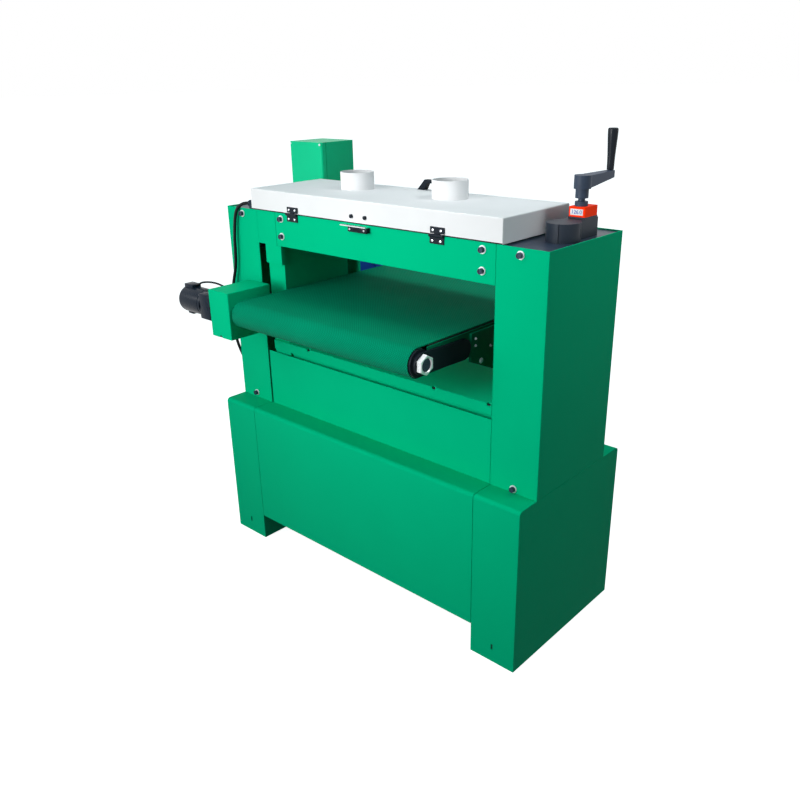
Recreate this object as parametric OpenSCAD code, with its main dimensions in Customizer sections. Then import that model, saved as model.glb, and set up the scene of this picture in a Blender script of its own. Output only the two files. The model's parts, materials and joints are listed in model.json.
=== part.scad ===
// Wide belt sander with a rising conveyor table.
// Millimetres. Origin on the floor, under the middle of the whole part. Front is -Y, up is +Z.

/* [Base] */
// overall width of the base
base_w = 1200; // [1140:10:1340]
// depth of the base
base_d = 500; // [470:10:560]
// height of the base
base_h = 495; // [430:5:560]
// width of each leg cover
leg_w = 145; // [120:5:170]
// clearance under the front panel
toe_h = 90; // [60:5:120]
// bend radius of the top edges
bend_r = 12; // [8:1:16]
// sheet thickness
sheet_t = 3; // [2.5:0.5:4]

/* [Columns] */
// width of each column
col_w = 147; // [142:1:160]
// depth of each column
col_d = 340; // [334:2:360]
// step from the base front to the column front
col_step = 75; // [60:5:95]
// height of the columns above the base
col_h = 637; // [600:5:690]
// width of the slot beside the left column
slot_w = 26; // [24:1:32]
// width of the left upright
post_w = 74; // [64:1:84]

/* [Head] */
// height of the cross beams
beam_h = 100; // [96:1:112]
// height of the lid
lid_h = 62; // [56:1:80]
// depth of the lid
lid_d = 293; // [284:1:296]
// outer radius of the dust collars
collar_r = 50; // [40:1:56]
// height of the dust collars
collar_h = 50; // [40:1:70]
// radius of the contact roller
contact_r = 48; // [44:1:49]
// radius of the tension roller
tension_r = 36; // [30:1:40]

/* [Table] */
// free height between conveyor and abrasive in the drawn pose
throat = 126; // [122:1:136]
// radius of the conveyor rollers
roll_r = 36.6; // [34:0.2:39]
// thickness of the conveyor belt
belt_t = 2.5; // [2:0.1:3.5]
// reach of the front roller before the columns
nose = 163; // [150:1:180]
// room between the conveyor and the right column
side_gap = 107; // [100:1:120]

/* [Feed drive] */
// width of the drive box
box_w = 96; // [88:1:104]
// depth of the drive box
box_d = 158; // [150:1:166]
// height of the drive box
box_h = 143; // [134:1:156]
// radius of the feed motor
motor_r = 42; // [36:1:44]
// length of the feed motor
motor_len = 112; // [90:1:130]
// side of the square gearhead
gear_sq = 80; // [76:1:88]
// length of the gearhead
gear_len = 54; // [40:1:70]

/* [Lift] */
// radius of the lifting screws
screw_r = 10; // [8:0.5:12]
// reach of the crank
crank_reach = 131; // [100:1:150]
// length of the crank grip
grip_len = 100; // [80:1:110]
// radius of the round gear cover
cover_r = 42; // [40:1:45]
// height of the gear cover
cover_h = 42; // [38:1:50]

/* [Control box] */
// width of the control box
cbox_w = 158; // [140:1:180]
// depth of the control box
cbox_d = 150; // [125:1:160]
// height of the control box
cbox_h = 175; // [165:1:200]

/* [Hidden] */
$fn = 48;

// running gap between bodies, and radial clearance of a shaft
gap = 0.4;
fit = 0.05;
eps = 0.01;

// what stands past the base on the left, and before the conveyor at the front
col_in = 3;
cbox_in = 26;
box_side = 7;
loop_r = roll_r + gap + belt_t;
left_box = cbox_w + cbox_in - col_w - col_in;
left_motor = box_w + box_side + gear_len + motor_len - col_in - col_w - slot_w - post_w;
left_over = max(left_box, left_motor);
front_over = max(motor_r, gear_sq/2, loop_r);

// main planes; the box round the whole part is centred on X and Y
xl = (left_over - base_w)/2;
xr = xl + base_w;
xm = (xl + xr)/2;
yf = (front_over - loop_r)/2 - col_step - col_d/2;
yb = yf + base_d;
cf = yf + col_step;
cb = cf + col_d;
cm = (cf + cb)/2;
top_z = base_h + col_h;
lc0 = xl + col_in;
lc1 = lc0 + col_w;
rc1 = xr;
rc0 = xr - col_w;
post0 = lc1 + slot_w;
post1 = post0 + post_w;
beam_z = top_z - beam_h;
beam_t = 6;

// abrasive unit
grind_drop = 10;
grind_z = beam_z - grind_drop;
abr_t = 1.6;
con_back = 87;
con_y = cf + con_back;
con_z = grind_z + abr_t + gap + contact_r;
ten_back = 130;
ten_y = con_y + ten_back;
ten_rise = 16;
ten_z = con_z + ten_rise;
shaft_r = 15;

// conveyor
belt_gap = 6;
belt0 = post1 + belt_gap;
belt1 = rc0 - side_gap;
belt_top = grind_z - throat;
ax_z = belt_top - loop_r;
roll_y0 = cf - nose;
roll_y1 = cb + nose;
axle_r = 12;

// deck and apron
deck_drop = 174;
deck_z = belt_top - deck_drop;
lip_h = 30;
groove_h = 12;
apron_z = deck_z - lip_h - groove_h;
skin_in = 2;
web_in = 22;
web_h = 60;

// drive box and motor
box_lift = 27;
box1 = post1 - box_side;
box0 = box1 - box_w;
boxf = roll_y0 - loop_r;
boxb = boxf + box_d;
boxt = belt_top + box_lift;
boxz = boxt - box_h;
box_t = 4;
stub_r = 7.5;
stub_len = 30;
motor_up = 6;
mot_ax = ax_z + motor_up;

// bed and rail
bed_in = 3;
bed_t = 6;
bed_skirt = 44;
bed_off = 44;
bar_h = 24;
rail_gap = 2;
rail_t = 4;
rail0 = belt1 + rail_gap;
rail1 = rail0 + rail_t;
rail_drop = 6;
rail_h = 66;
arm_r = 28;
arm_t = 9;
arm_end = 192;
ring_r = 36;
ring_t = 5;
nut_af = 46;
nut_t = 15;
tail_w = 6;

// lift
rs_in = 56;
rs_x = rc1 - rs_in;
rs_back = 146;
rs_y = cf + rs_back;
ls_in = 40;
ls_x = lc1 - ls_in;
ls_back = 115;
ls_y = cf + ls_back;
crank_in = 52;
crank_x = rc1 - crank_in;
crank_back = 69;
crank_y = rs_y + crank_back;
chain_up = 65;
chain_z = base_h + chain_up;
chain_w = 8;
chain_t = 5;
wheel_r = 28;
big_r = 24;
small_r = 12;
lift_belt_t = 3;
lift_belt_w = 10;
cap_drop = 4;
cap_z = top_z - cap_drop;
nut_r = 22;
nut_h = 50;
lug_t = 12;
lift_drop = 120;
lift_z = belt_top - lift_drop;

// main drive
mot_back = 85;
mot_y = cb + mot_back;
mot_drop = 192;
mot_z = con_z - mot_drop;
mot_r = 72;
mot_len = 118;
mot_shaft = 12;
pul_in = 37;
pul_x = lc0 + pul_in;
pul_w = 24;
pul_con = 40;
pul_mot = 50;
vbelt_t = 6;
guard_w = 101;
guard_x1 = lc0 + guard_w;
guard_d = 165;
guard_h = 222;

// lid
lid_over_l = 25;
lid0 = lc1 - lid_over_l;
lid_over_r = 16;
lid1 = rc0 + lid_over_r;
lid_set = 2;
lid_y = cf + lid_set;
lid_gap = 0.5;
lid_z = top_z + lid_gap;
hinge_w = 46;
hinge_tab = 16;
knuckle_r = 4;
hinge_y = cf - knuckle_r - lid_gap;
hinge_z = lid_z;
pin_r = 2;
leaf_t = 3;
leaf_h = 16;
leaf_off = 5;
hinge_a = 320;
hinge_b = 328;
hinge_xs = [xl + hinge_a, xr - hinge_b];
collar_wall = 3;
collar_a = 411;
collar_b = 435;
collar_xs = [xl + collar_a, xr - collar_b];
collar_back = 181;
collar_y = lid_y + collar_back;
handle_off = 34;
handle_x = xm + handle_off;
handle_w = 130;
handle_h = 30;
handle_in = 28;
handle_t = 18;
handle_bar = 10;
handle_back = 24;

// control box
cb_x1 = lc1 - cbox_in;
cb_x0 = cb_x1 - cbox_w;
cbox_back = 305;
cb_y0 = cf + cbox_back;
cb_y1 = cb_y0 + cbox_d;
cb_z1 = top_z + cbox_h;
cover_t = 20;
cover_gap = 1.5;
cbox_round = 8;
cbox_t = 4;

btn_r = 11;
btn_out = 8;
btn_deep = 16;
stop_r = 20;
stop_t = 12;
stop_stem = 8;
stop_lift = 8;
knob_r = 16;
knob_t = 16;
knob_pin = 4;
ctl_x = (cb_x0 + cb_x1)/2;
ctl_step = 34;
ctl_row = 44;
ctl_hi = cb_z1 - ctl_row;
ctl_mid = ctl_hi - ctl_row;
ctl_lo = ctl_mid - ctl_row;

// fasteners on the front
wash_r = 10.5;
wash_t = 2;
head_r = 7.2;
head_h = 9;
hex_r = 5;
hex_deep = 5;
bolt_row = 17;
bolt_pitch = 52;
bolt_low = 17;
bolt_in = 77;
foot_in_l = 70;
foot_in_r = 72;
foot_low_r = 12;
beam_in_l = 16;
beam_bolt_l = post1 + beam_in_l;
beam_in_r = 40;
beam_bolt_r = rc0 - beam_in_r;
bolt_pts = [[lc0 + bolt_in, top_z - bolt_row], [lc0 + foot_in_l, base_h + bolt_low],
  [beam_bolt_l, top_z - bolt_row], [beam_bolt_l, top_z - bolt_row - bolt_pitch],
  [beam_bolt_r, top_z - bolt_row], [beam_bolt_r, top_z - bolt_row - bolt_pitch],
  [rc1 - bolt_in, top_z - bolt_row], [rc1 - foot_in_r, base_h + foot_low_r]];

// box between two planes on each axis
module slab(x0, x1, y0, y1, z0, z1) {
  translate([x0, y0, z0]) cube([x1 - x0, y1 - y0, z1 - z0]);
}
// round bar along X, and the same along Y and Z
module xrod(x0, x1, y, z, r) {
  translate([x0, y, z]) rotate([0, 90, 0]) cylinder(r = r, h = x1 - x0);
}
module yrod(y0, y1, x, z, r) {
  translate([x, y1, z]) rotate([90, 0, 0]) cylinder(r = r, h = y1 - y0);
}
module zrod(z0, z1, x, y, r) {
  translate([x, y, z0]) cylinder(r = r, h = z1 - z0);
}
// outline drawn in Y and Z, drawn out along X
module along_x(x0, x1) {
  translate([x0, 0, 0]) rotate([90, 0, 90]) linear_extrude(height = x1 - x0) children();
}
// outline drawn in X and Z, drawn out along Y
module along_y(y0, y1) {
  translate([0, y1, 0]) rotate([90, 0, 0]) linear_extrude(height = y1 - y0) children();
}
// filled outline of a loop round two wheels
module loop2d(a, b, ra, rb) {
  hull() {
    translate(a) circle(r = ra);
    translate(b) circle(r = rb);
  }
}
// belt round two wheels
module band2d(a, b, ra, rb, t) {
  difference() {
    loop2d(a, b, ra + t, rb + t);
    loop2d(a, b, ra, rb);
  }
}
// end outline of the base, with rounded top edges
module base2d(t) {
  hull() {
    translate([yf + bend_r, base_h - bend_r]) circle(r = bend_r - t, $fn = 32);
    translate([yb - bend_r, base_h - bend_r]) circle(r = bend_r - t, $fn = 32);
    translate([yf + t, -eps]) square([base_d - 2*t, bend_r]);
  }
}
// bent sheet of the base, from a height upwards
module skin2d(z0) {
  difference() {
    base2d(0);
    base2d(sheet_t);
    translate([yf - bend_r, -bend_r]) square([base_d + 2*bend_r, z0 + bend_r]);
  }
}

bar_w = 40;
angle_t = 4;
foot_gap = 4;
frame_gap = 0.1;
// angle iron: four corner posts, top rails and side ties
module inner_frame() {
  x0 = xl + sheet_t;
  x1 = xr - sheet_t;
  y0 = yf + sheet_t;
  y1 = yb - sheet_t;
  z1 = base_h - sheet_t;
  color([0.12, 0.13, 0.13]) difference() {
    intersection() {
      union() {
        for (sx = [x0, x1 - bar_w]) {
          for (sy = [y0, y1 - bar_w]) slab(sx, sx + bar_w, sy, sy + bar_w, foot_gap, z1);
          for (sz = [toe_h, z1 - bar_w]) slab(sx, sx + bar_w, y0, y1, sz, sz + bar_w);
        }
        for (sy = [y0, y1 - bar_w]) slab(x0, x1, sy, sy + bar_w, z1 - bar_w, z1);
      }
      along_x(x0, x1) base2d(sheet_t + frame_gap);
    }
    slab(x0 + angle_t, x1 - angle_t, y0 + angle_t, y1 - angle_t, 0, z1 - angle_t);
  }
}

slot_h = 18;
slot_t = 6;
slot_z = 39;
seam = 1.6;
return_h = 120;
// leg cover with its closed end, a low wall inside and a slot in front
module leg(x0, x1, cap0, return0) {
  difference() {
    union() {
      slab(return0, return0 + sheet_t, yf + sheet_t - eps, yb - sheet_t + eps, 0, return_h);
      along_x(x0, x1) skin2d(0);
      along_x(cap0, cap0 + sheet_t) difference() {
        base2d(0);
        translate([yf - bend_r, -2*bend_r]) square([base_d + 2*bend_r, 2*bend_r]);
      }
    }
    slab((x0 + x1 - slot_t)/2, (x0 + x1 + slot_t)/2, yf - sheet_t, yf + 2*sheet_t,
      slot_z, slot_z + slot_h);
  }
}
module left_leg() { color([0, 0.6, 0.42]) leg(xl, xl + leg_w, xl, xl + leg_w - sheet_t); }
module right_leg() { color([0, 0.6, 0.42]) leg(xr - leg_w, xr, xr - sheet_t, xr - leg_w); }
// front half of the base skin between the legs
module front_panel() {
  color([0, 0.6, 0.42]) intersection() {
    along_x(xl + leg_w + seam, xr - leg_w - seam) skin2d(toe_h);
    slab(xl, xr, yf - bend_r, (yf + yb - seam)/2, 0, base_h + bend_r);
  }
}
// rear half of the base skin
module rear_panel() {
  color([0, 0.6, 0.42]) intersection() {
    along_x(xl + leg_w + seam, xr - leg_w - seam) skin2d(toe_h);
    slab(xl, xr, (yf + yb + seam)/2, yb + bend_r, 0, base_h + bend_r);
  }
}

win_x0 = 14;
win_x1 = 84;
win_low = 90;
win_high = 100;
win_up = 48;
win_z = mot_z + win_up;
// column open to the inside, with a window for the drive belt behind
module left_column() {
  color([0, 0.6, 0.42]) difference() {
    slab(lc0, lc1, cf, cb, base_h, top_z);
    slab(lc0 + sheet_t, lc1 + sheet_t, cf + sheet_t, cb - sheet_t, base_h - sheet_t, top_z + sheet_t);
    slab(lc0 + win_x0, lc0 + win_x1, cb - 2*sheet_t, cb + sheet_t, win_z - win_low, win_z + win_high);
  }
}
// column open to the inside, over the crank's screw
module right_column() {
  color([0, 0.6, 0.42]) difference() {
    slab(rc0, rc1, cf, cb, base_h, top_z);
    slab(rc0 - sheet_t, rc1 - sheet_t, cf + sheet_t, cb - sheet_t, base_h - sheet_t, top_z + sheet_t);
  }
}
cap_t = 6;
// plates just under the column tops
module column_caps() {
  color([0.16, 0.14, 0.14]) {
    slab(lc0 + sheet_t, lc1, cf + sheet_t, cb - sheet_t, cap_z - cap_t, cap_z);
    difference() {
      slab(rc0, rc1 - sheet_t, cf + sheet_t, cb - sheet_t, cap_z - cap_t, cap_z);
      zrod(cap_z - 2*cap_t, cap_z + cap_t, rs_x, rs_y, screw_r + fit);
      zrod(cap_z - 2*cap_t, cap_z + cap_t, crank_x, crank_y, screw_r + fit);
    }
  }
}
flange_f = 26;
flange_r = 60;
joint_w = 0.6;
beam_lap = 12;
// cross beams of the head, with a flange on top
module front_beam() {
  color([0, 0.6, 0.42]) {
    slab(post1 - beam_lap, rc0 - joint_w, cf, cf + beam_t, beam_z, top_z);
    slab(post1 - beam_lap, rc0 - joint_w, cf + beam_t - eps, cf + flange_f, top_z - sheet_t, top_z);
  }
}
module rear_beam() {
  color([0, 0.6, 0.42]) {
    slab(lc1 + joint_w, rc0 - joint_w, cb - beam_t, cb, beam_z, top_z);
    slab(lc1 + joint_w, rc0 - joint_w, cb - flange_r, cb - beam_t + eps, top_z - sheet_t, top_z);
  }
}
post_set = 14;
post_d = 47;
wall_t = 8;
wall_end = 280;
head_end = 290;
block_drop = 58;
post_lap = 1;
// post and side wall that carry the abrasive unit, and the stub beam before them
module left_upright() {
  color([0, 0.56, 0.4]) difference() {
    union() {
      slab(post0, post1, cf + post_set, cf + post_set + post_d, base_h, top_z - sheet_t);
      slab(post1 - wall_t, post1, cf + post_set + post_d - eps, cf + wall_end, deck_z, top_z - sheet_t);
      slab(post1 - wall_t, post1, cf + wall_end - eps, cf + head_end, beam_z, top_z - sheet_t);
      slab(lc1 + joint_w, post1 - beam_lap - joint_w, cf, cf + post_set + eps, beam_z, top_z);
      slab(post0 + belt_gap, post1 + belt_gap - joint_w, cf, cf + post_set + eps,
        beam_z - block_drop, beam_z + eps);
      slab(post0, post1 + post_lap, cb - beam_t, cb, base_h, beam_z);
    }
    slab(post1 - beam_lap - joint_w, post1 + wall_t, cf - wall_t, cf + post_set + eps,
      beam_z - joint_w, top_z + wall_t);
    xrod(post0 - wall_t, post1 + wall_t, con_y, con_z, shaft_r + fit);
    xrod(post0 - wall_t, post1 + wall_t, ten_y, ten_z, shaft_r + fit);
  }
}
apron_side = 5;
fold_low = 30;
sheet_gap = 2;
// sheet between the columns, under the deck, with a fold inside
module apron() {
  z1 = apron_z - fold_low;
  color([0, 0.6, 0.42]) difference() {
    along_x(lc1 + apron_side, rc0 - sheet_gap) polygon([
      [cf + skin_in, base_h], [cf + skin_in, apron_z], [cf + skin_in + sheet_t, apron_z],
      [cf + skin_in + sheet_t, z1], [cf + web_in, z1], [cf + web_in, z1 - sheet_t],
      [cf + skin_in + sheet_t, z1 - sheet_t], [cf + skin_in + sheet_t, base_h]]);
    slab(lc1, post1 + joint_w, cf + post_set - joint_w, cb, z1 - 2*sheet_t, apron_z);
  }
}
notch_w = 12;
notch_d = 10;
notch_h = 7;
deck_l = 36;
deck_back = 6;
cut_deep = 240;
notch_a = 350;
notch_b = 343;
// floor under the conveyor, with a lip and a groove in front
module deck() {
  color([0, 0.6, 0.42]) difference() {
    along_x(lc1 + deck_l, rc0 - sheet_gap) polygon([
      [cf + skin_in, deck_z], [cb - deck_back, deck_z], [cb - deck_back, deck_z - sheet_t],
      [cf + skin_in + sheet_t, deck_z - sheet_t], [cf + skin_in + sheet_t, deck_z - lip_h + sheet_t],
      [cf + web_in + sheet_t, deck_z - lip_h + sheet_t], [cf + web_in + sheet_t, apron_z - web_h],
      [cf + web_in, apron_z - web_h], [cf + web_in, deck_z - lip_h], [cf + skin_in, deck_z - lip_h]]);
    slab(lc1, post1 + joint_w, cf + post_set - joint_w, cb, deck_z - cut_deep, deck_z + web_h);
    for (nx = [xl + notch_a, xr - notch_b, rc0 - notch_w])
      slab(nx - notch_w/2, nx + notch_w/2, cf, cf + notch_d, deck_z - notch_h, deck_z + sheet_t);
  }
}

plate_off = 40;
plate_x = belt1 + plate_off;
plate_t = 12;
plate_low = 4;
// plate that carries the right ends of the head's rollers
module bearing_plate() {
  color([0.2, 0.22, 0.22]) difference() {
    slab(plate_x, plate_x + plate_t, cf + beam_t, cb - beam_t, beam_z + plate_low, top_z - sheet_t);
    xrod(plate_x - plate_t, plate_x + 2*plate_t, con_y, con_z, shaft_r + fit);
    xrod(plate_x - plate_t, plate_x + 2*plate_t, ten_y, ten_z, shaft_r + fit);
  }
}
brg_r = 25;
brg_t = 14;
module ring_x(x0, y, z) {
  difference() {
    xrod(x0, x0 + brg_t, y, z, brg_r);
    xrod(x0 - brg_t, x0 + 2*brg_t, y, z, shaft_r + fit);
  }
}
// bearing rings of the head's rollers
module head_bearings() {
  color([0.35, 0.36, 0.38]) for (p = [[con_y, con_z], [ten_y, ten_z]]) {
    ring_x(post1 - wall_t - brg_t, p[0], p[1]);
    ring_x(plate_x + plate_t, p[0], p[1]);
  }
}
shoe_t = 16;
shoe_h = 26;
shoe_f = 30;
shoe_r = 10;
// bars that hold the work down before and behind the abrasive
module pressure_shoes() {
  rear_y = ten_y + tension_r + gap + abr_t + shoe_r;
  color([0.45, 0.46, 0.48]) for (sy = [con_y - contact_r - shoe_f, rear_y])
    slab(post1, plate_x, sy, sy + shoe_t, beam_z + plate_low, beam_z + plate_low + shoe_h);
}
abr_in = 10;
// abrasive loop round the contact and tension rollers
module abrasive_belt() {
  color([0.45, 0.2, 0.1]) along_x(belt0 + abr_in, belt1 - abr_in)
    band2d([con_y, con_z], [ten_y, ten_z], contact_r + gap, tension_r + gap, abr_t);
}

mot_flange = 8;
mot_box = 60;
mot_box_h = 34;
mot_cowl = 26;
// motor with its terminal box, on the inner side of the guard
module main_motor() {
  color([0.05, 0.15, 0.5]) difference() {
    union() {
      xrod(guard_x1, guard_x1 + mot_len, mot_y, mot_z, mot_r);
      slab(guard_x1 + mot_cowl, guard_x1 + mot_cowl + mot_box, mot_y - mot_box/2, mot_y + mot_box/2,
        mot_z, mot_z + mot_r + mot_box_h);
    }
    xrod(guard_x1 - mot_flange, guard_x1 + mot_len - mot_cowl, mot_y, mot_z, mot_shaft + fit);
  }
}
guard_low = 95;
// casing round the motor's pulley
module belt_guard() {
  color([0, 0.56, 0.4]) difference() {
    slab(lc0, guard_x1, cb, cb + guard_d, mot_z - guard_low, mot_z - guard_low + guard_h);
    slab(lc0 + sheet_t, guard_x1 - mot_flange, cb - sheet_t, cb + guard_d - sheet_t,
      mot_z - guard_low + sheet_t, mot_z - guard_low + guard_h - sheet_t);
    xrod(guard_x1 - 2*mot_flange, guard_x1 + mot_flange, mot_y, mot_z, mot_shaft + fit);
  }
}
vb_in = 3;
// belt from the motor to the contact roller
module drive_belt() {
  color([0.08, 0.08, 0.08]) along_x(pul_x + vb_in, pul_x + pul_w - vb_in)
    band2d([mot_y, mot_z], [con_y, con_z], pul_mot + gap, pul_con + gap, vbelt_t);
}

// rectangle with rounded corners
module cbox2d(x0, x1, y0, y1, r) {
  hull() for (px = [x0 + r, x1 - r]) for (py = [y0 + r, y1 - r])
    translate([px, py]) circle(r = r, $fn = 32);
}
brk_w = 90;
brk_in = 20;
brk_t = 5;
brk_h = 90;
// casing of the controls on its bracket
module control_box() {
  color([0, 0.6, 0.42]) {
    difference() {
      translate([0, 0, top_z]) linear_extrude(height = cbox_h) intersection() {
        cbox2d(cb_x0, cb_x1, cb_y0, cb_y1, cbox_round);
        translate([cb_x0, cb_y0 + cover_t + cover_gap]) square([cbox_w, cbox_d]);
      }
      slab(cb_x0 + cbox_t, cb_x1 - cbox_t, cb_y0, cb_y1 - cbox_t, top_z + cbox_t, cb_z1 - cbox_t);
      for (bx = [ctl_x - ctl_step, ctl_x + ctl_step])
        yrod(cb_y1 - btn_deep, cb_y1 + btn_out, bx, ctl_mid, btn_r + gap);
      yrod(cb_y1 - btn_deep, cb_y1 + btn_out, ctl_x, ctl_hi, stop_stem + gap);
      yrod(cb_y1 - btn_deep, cb_y1 + btn_out, ctl_x, ctl_lo, knob_pin + fit);
    }
    slab(lc0 + brk_in, lc0 + brk_in + brk_w, cb, cb + brk_t, top_z - brk_h, top_z + eps);
    for (bx = [lc0 + brk_in, lc0 + brk_in + brk_w - brk_t])
      along_x(bx, bx + brk_t) polygon([[cb + brk_t - eps, top_z - brk_h], [cb_y1 - brk_in, top_z + eps],
        [cb + brk_t - eps, top_z + eps]]);
  }
}
// front cover of the control box
module control_cover() {
  color([0, 0.6, 0.42]) translate([0, 0, top_z]) linear_extrude(height = cbox_h) union() {
    intersection() {
      cbox2d(cb_x0, cb_x1, cb_y0, cb_y1, cbox_round);
      translate([cb_x0, cb_y0]) square([cbox_w, cover_t]);
    }
    translate([cb_x0 + brk_in, cb_y0 + cover_t - eps]) square([cbox_w - 2*brk_in, cover_gap + eps]);
  }
}
blk_w = 46;
blk_l = 30;
blk_r = 46;
cav_h = 22;
cav_out = 0.8;
groove_r = 2;
groove_a = 287;
groove_b = 15;
// cover over the lift wheels on the right column
module gear_cover() {
  color([0.1, 0.1, 0.11]) difference() {
    union() {
      zrod(cap_z, top_z + cover_h, rs_x, rs_y, cover_r);
      slab(crank_x - blk_l, crank_x + blk_w/2, rs_y, crank_y + blk_r, cap_z, top_z + cover_h);
      slab(crank_x - blk_w/2, crank_x + blk_w/2, crank_y - ind_f, crank_y + ind_r, top_z, ind_z);
    }
    translate([0, 0, cap_z - eps]) linear_extrude(height = cav_h)
      loop2d([rs_x, rs_y], [crank_x, crank_y], big_r + gap + lift_belt_t + cav_out,
        small_r + gap + lift_belt_t + cav_out);
    zrod(cap_z, top_z + 2*cover_h, crank_x, crank_y, screw_r + fit);
    zrod(cap_z, cap_z + 2*cav_h, rs_x, rs_y, screw_r + fit);
    for (ga = [groove_a, groove_b])
      zrod(cap_z - eps, top_z + 2*cover_h, rs_x + cover_r*cos(ga), rs_y + cover_r*sin(ga), groove_r);
  }
}
ind_h = 24;
ind_f = 19;
ind_r = 41;
ind_round = 3;
ind_up = 5;
ind_z = top_z + cover_h + ind_up;
// height counter on the crank's spindle
module indicator() {
  color([1, 0.25, 0.06]) difference() {
    translate([0, 0, ind_z]) linear_extrude(height = ind_h)
      cbox2d(crank_x - blk_w/2, crank_x + blk_w/2, crank_y - ind_f, crank_y + ind_r, ind_round);
    zrod(ind_z - ind_h, ind_z + 2*ind_h, crank_x, crank_y, screw_r + fit);
  }
}
wheel_up = 5;
wheel_z = cap_z + wheel_up;
// belt from the crank's wheel to the right screw
module lift_belt() {
  color([0.06, 0.06, 0.06]) translate([0, 0, wheel_z]) linear_extrude(height = lift_belt_w)
    band2d([rs_x, rs_y], [crank_x, crank_y], big_r + gap, small_r + gap, lift_belt_t);
}
// chain that turns both screws together
module lower_chain() {
  color([0.3, 0.3, 0.32]) translate([0, 0, chain_z]) linear_extrude(height = chain_w)
    band2d([ls_x, ls_y], [rs_x, rs_y], wheel_r + gap, wheel_r + gap, chain_t);
}
sb_r = 24;
sb_h = 25;
sb_drop = 30;
sb_in = 26;
// foot bearings of both screws and the top lug of the left one
module screw_bearings() {
  color([0.25, 0.26, 0.28]) {
    for (p = [[ls_x, ls_y], [rs_x, rs_y]]) difference() {
      zrod(base_h, base_h + sb_h, p[0], p[1], sb_r);
      zrod(base_h + sheet_t, base_h + 2*sb_h, p[0], p[1], screw_r + fit);
    }
    difference() {
      slab(ls_x - sb_r, post0, cf + post_set + sb_in, ls_y + sb_r, beam_z - sb_drop,
        beam_z - sb_drop + lug_t);
      zrod(beam_z - 2*sb_drop, beam_z, ls_x, ls_y, screw_r + fit);
    }
  }
}

// fixed hinge leaves with their pins
module hinge_leaves() {
  color([0.1, 0.1, 0.12]) for (hx = hinge_xs) {
    slab(hx - hinge_w/2, hx + hinge_w/2, cf - leaf_t, cf, hinge_z - leaf_off - leaf_h, hinge_z - leaf_off);
    for (s = [-1, 1]) {
      xa = min(hx + s*hinge_w/2, hx + s*(hinge_tab/2 + gap));
      xb = max(hx + s*hinge_w/2, hx + s*(hinge_tab/2 + gap));
      slab(xa, xb, cf - leaf_t, cf, hinge_z - leaf_off - eps, hinge_z);
      xrod(xa, xb, hinge_y, hinge_z, knuckle_r);
    }
    xrod(hx - hinge_w/2, hx + hinge_w/2, hinge_y, hinge_z, pin_r);
  }
}
sw_off = 35;
sw_x = xm - sw_off;
sw_w = 72;
sw_h = 15;
sw_t = 15;
sw_low = 5;
swp_w = 97;
swp_t = 2.5;
swp_off = 62;
swp_x = xm - swp_off;
// lid switch and the plate over it
module interlock() {
  color([0.1, 0.1, 0.12]) slab(sw_x, sw_x + sw_w, cf - sw_t, cf, top_z - sw_low - sw_h, top_z - sw_low);
}
module interlock_plate() {
  color([0.75, 0.76, 0.78])
    slab(swp_x, swp_x + swp_w, cf - sw_t - swp_t, cf, top_z - sw_low, top_z - sw_low + swp_t);
}
cs_r = 3.5;
cs_in = 7;
cs_h = 1.5;
// washers of the front bolts, and the screws of the control cover
module washers() {
  color([0.8, 0.8, 0.82]) {
    for (p = bolt_pts) difference() {
      yrod(cf - wash_t, cf, p[0], p[1], wash_r);
      yrod(cf - 2*wash_t, cf + wash_t, p[0], p[1], head_r/2);
    }
    for (sx = [cb_x0 + cs_in, cb_x1 - cs_in])
      for (sz = [top_z + cs_in, cb_z1 - cs_in]) yrod(cb_y0 - cs_h, cb_y0, sx, sz, cs_r);
  }
}
// socket screws on the front
module bolts() {
  color([0.2, 0.2, 0.22]) for (p = bolt_pts) difference() {
    yrod(cf - wash_t - head_h, cf - wash_t, p[0], p[1], head_r);
    translate([p[0], cf - wash_t - head_h + hex_deep, p[1]]) rotate([90, 0, 0])
      cylinder(r = hex_r, h = 2*hex_deep, $fn = 6);
  }
}

// tubes along a route: points on a smooth curve, with a ring of sides at each
function mix(p, i, t) = let (n = len(p) - 1, a = p[max(i - 1, 0)], b = p[i], c = p[min(i + 1, n)],
  d = p[min(i + 2, n)]) 0.5*(2*b + (c - a)*t + (2*a - 5*b + 4*c - d)*t*t + (3*b - a - 3*c + d)*t*t*t);
function curve(p, k) = concat([for (i = [0:len(p) - 2]) for (j = [0:k - 1]) mix(p, i, j/k)],
  [p[len(p) - 1]]);
function unit(v) = v/norm(v);
function heading(q, i) = unit(q[min(i + 1, len(q) - 1)] - q[max(i - 1, 0)]);
function side(t) = unit(cross(t, abs(t[1]) < 0.9 ? [0, 1, 0] : [0, 0, 1]));
module route_tube(q, r, sides) {
  n = len(q);
  pts = [for (i = [0:n - 1]) let (t = heading(q, i), u = side(t), v = cross(t, u))
    for (k = [0:sides - 1]) q[i] + r*(u*cos(360*k/sides) + v*sin(360*k/sides))];
  wall = [for (i = [0:n - 2]) for (k = [0:sides - 1]) let (a = i*sides + k, b = i*sides + (k + 1) % sides)
    each [[a, a + sides, b], [b, a + sides, b + sides]]];
  ends = [for (k = [1:sides - 2]) each [[0, k, k + 1],
    [(n - 1)*sides, (n - 1)*sides + k + 1, (n - 1)*sides + k]]];
  polyhedron(points = pts, faces = concat(wall, ends), convexity = 6);
}
cable_r = 5;
cable_sides = 10;
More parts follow.
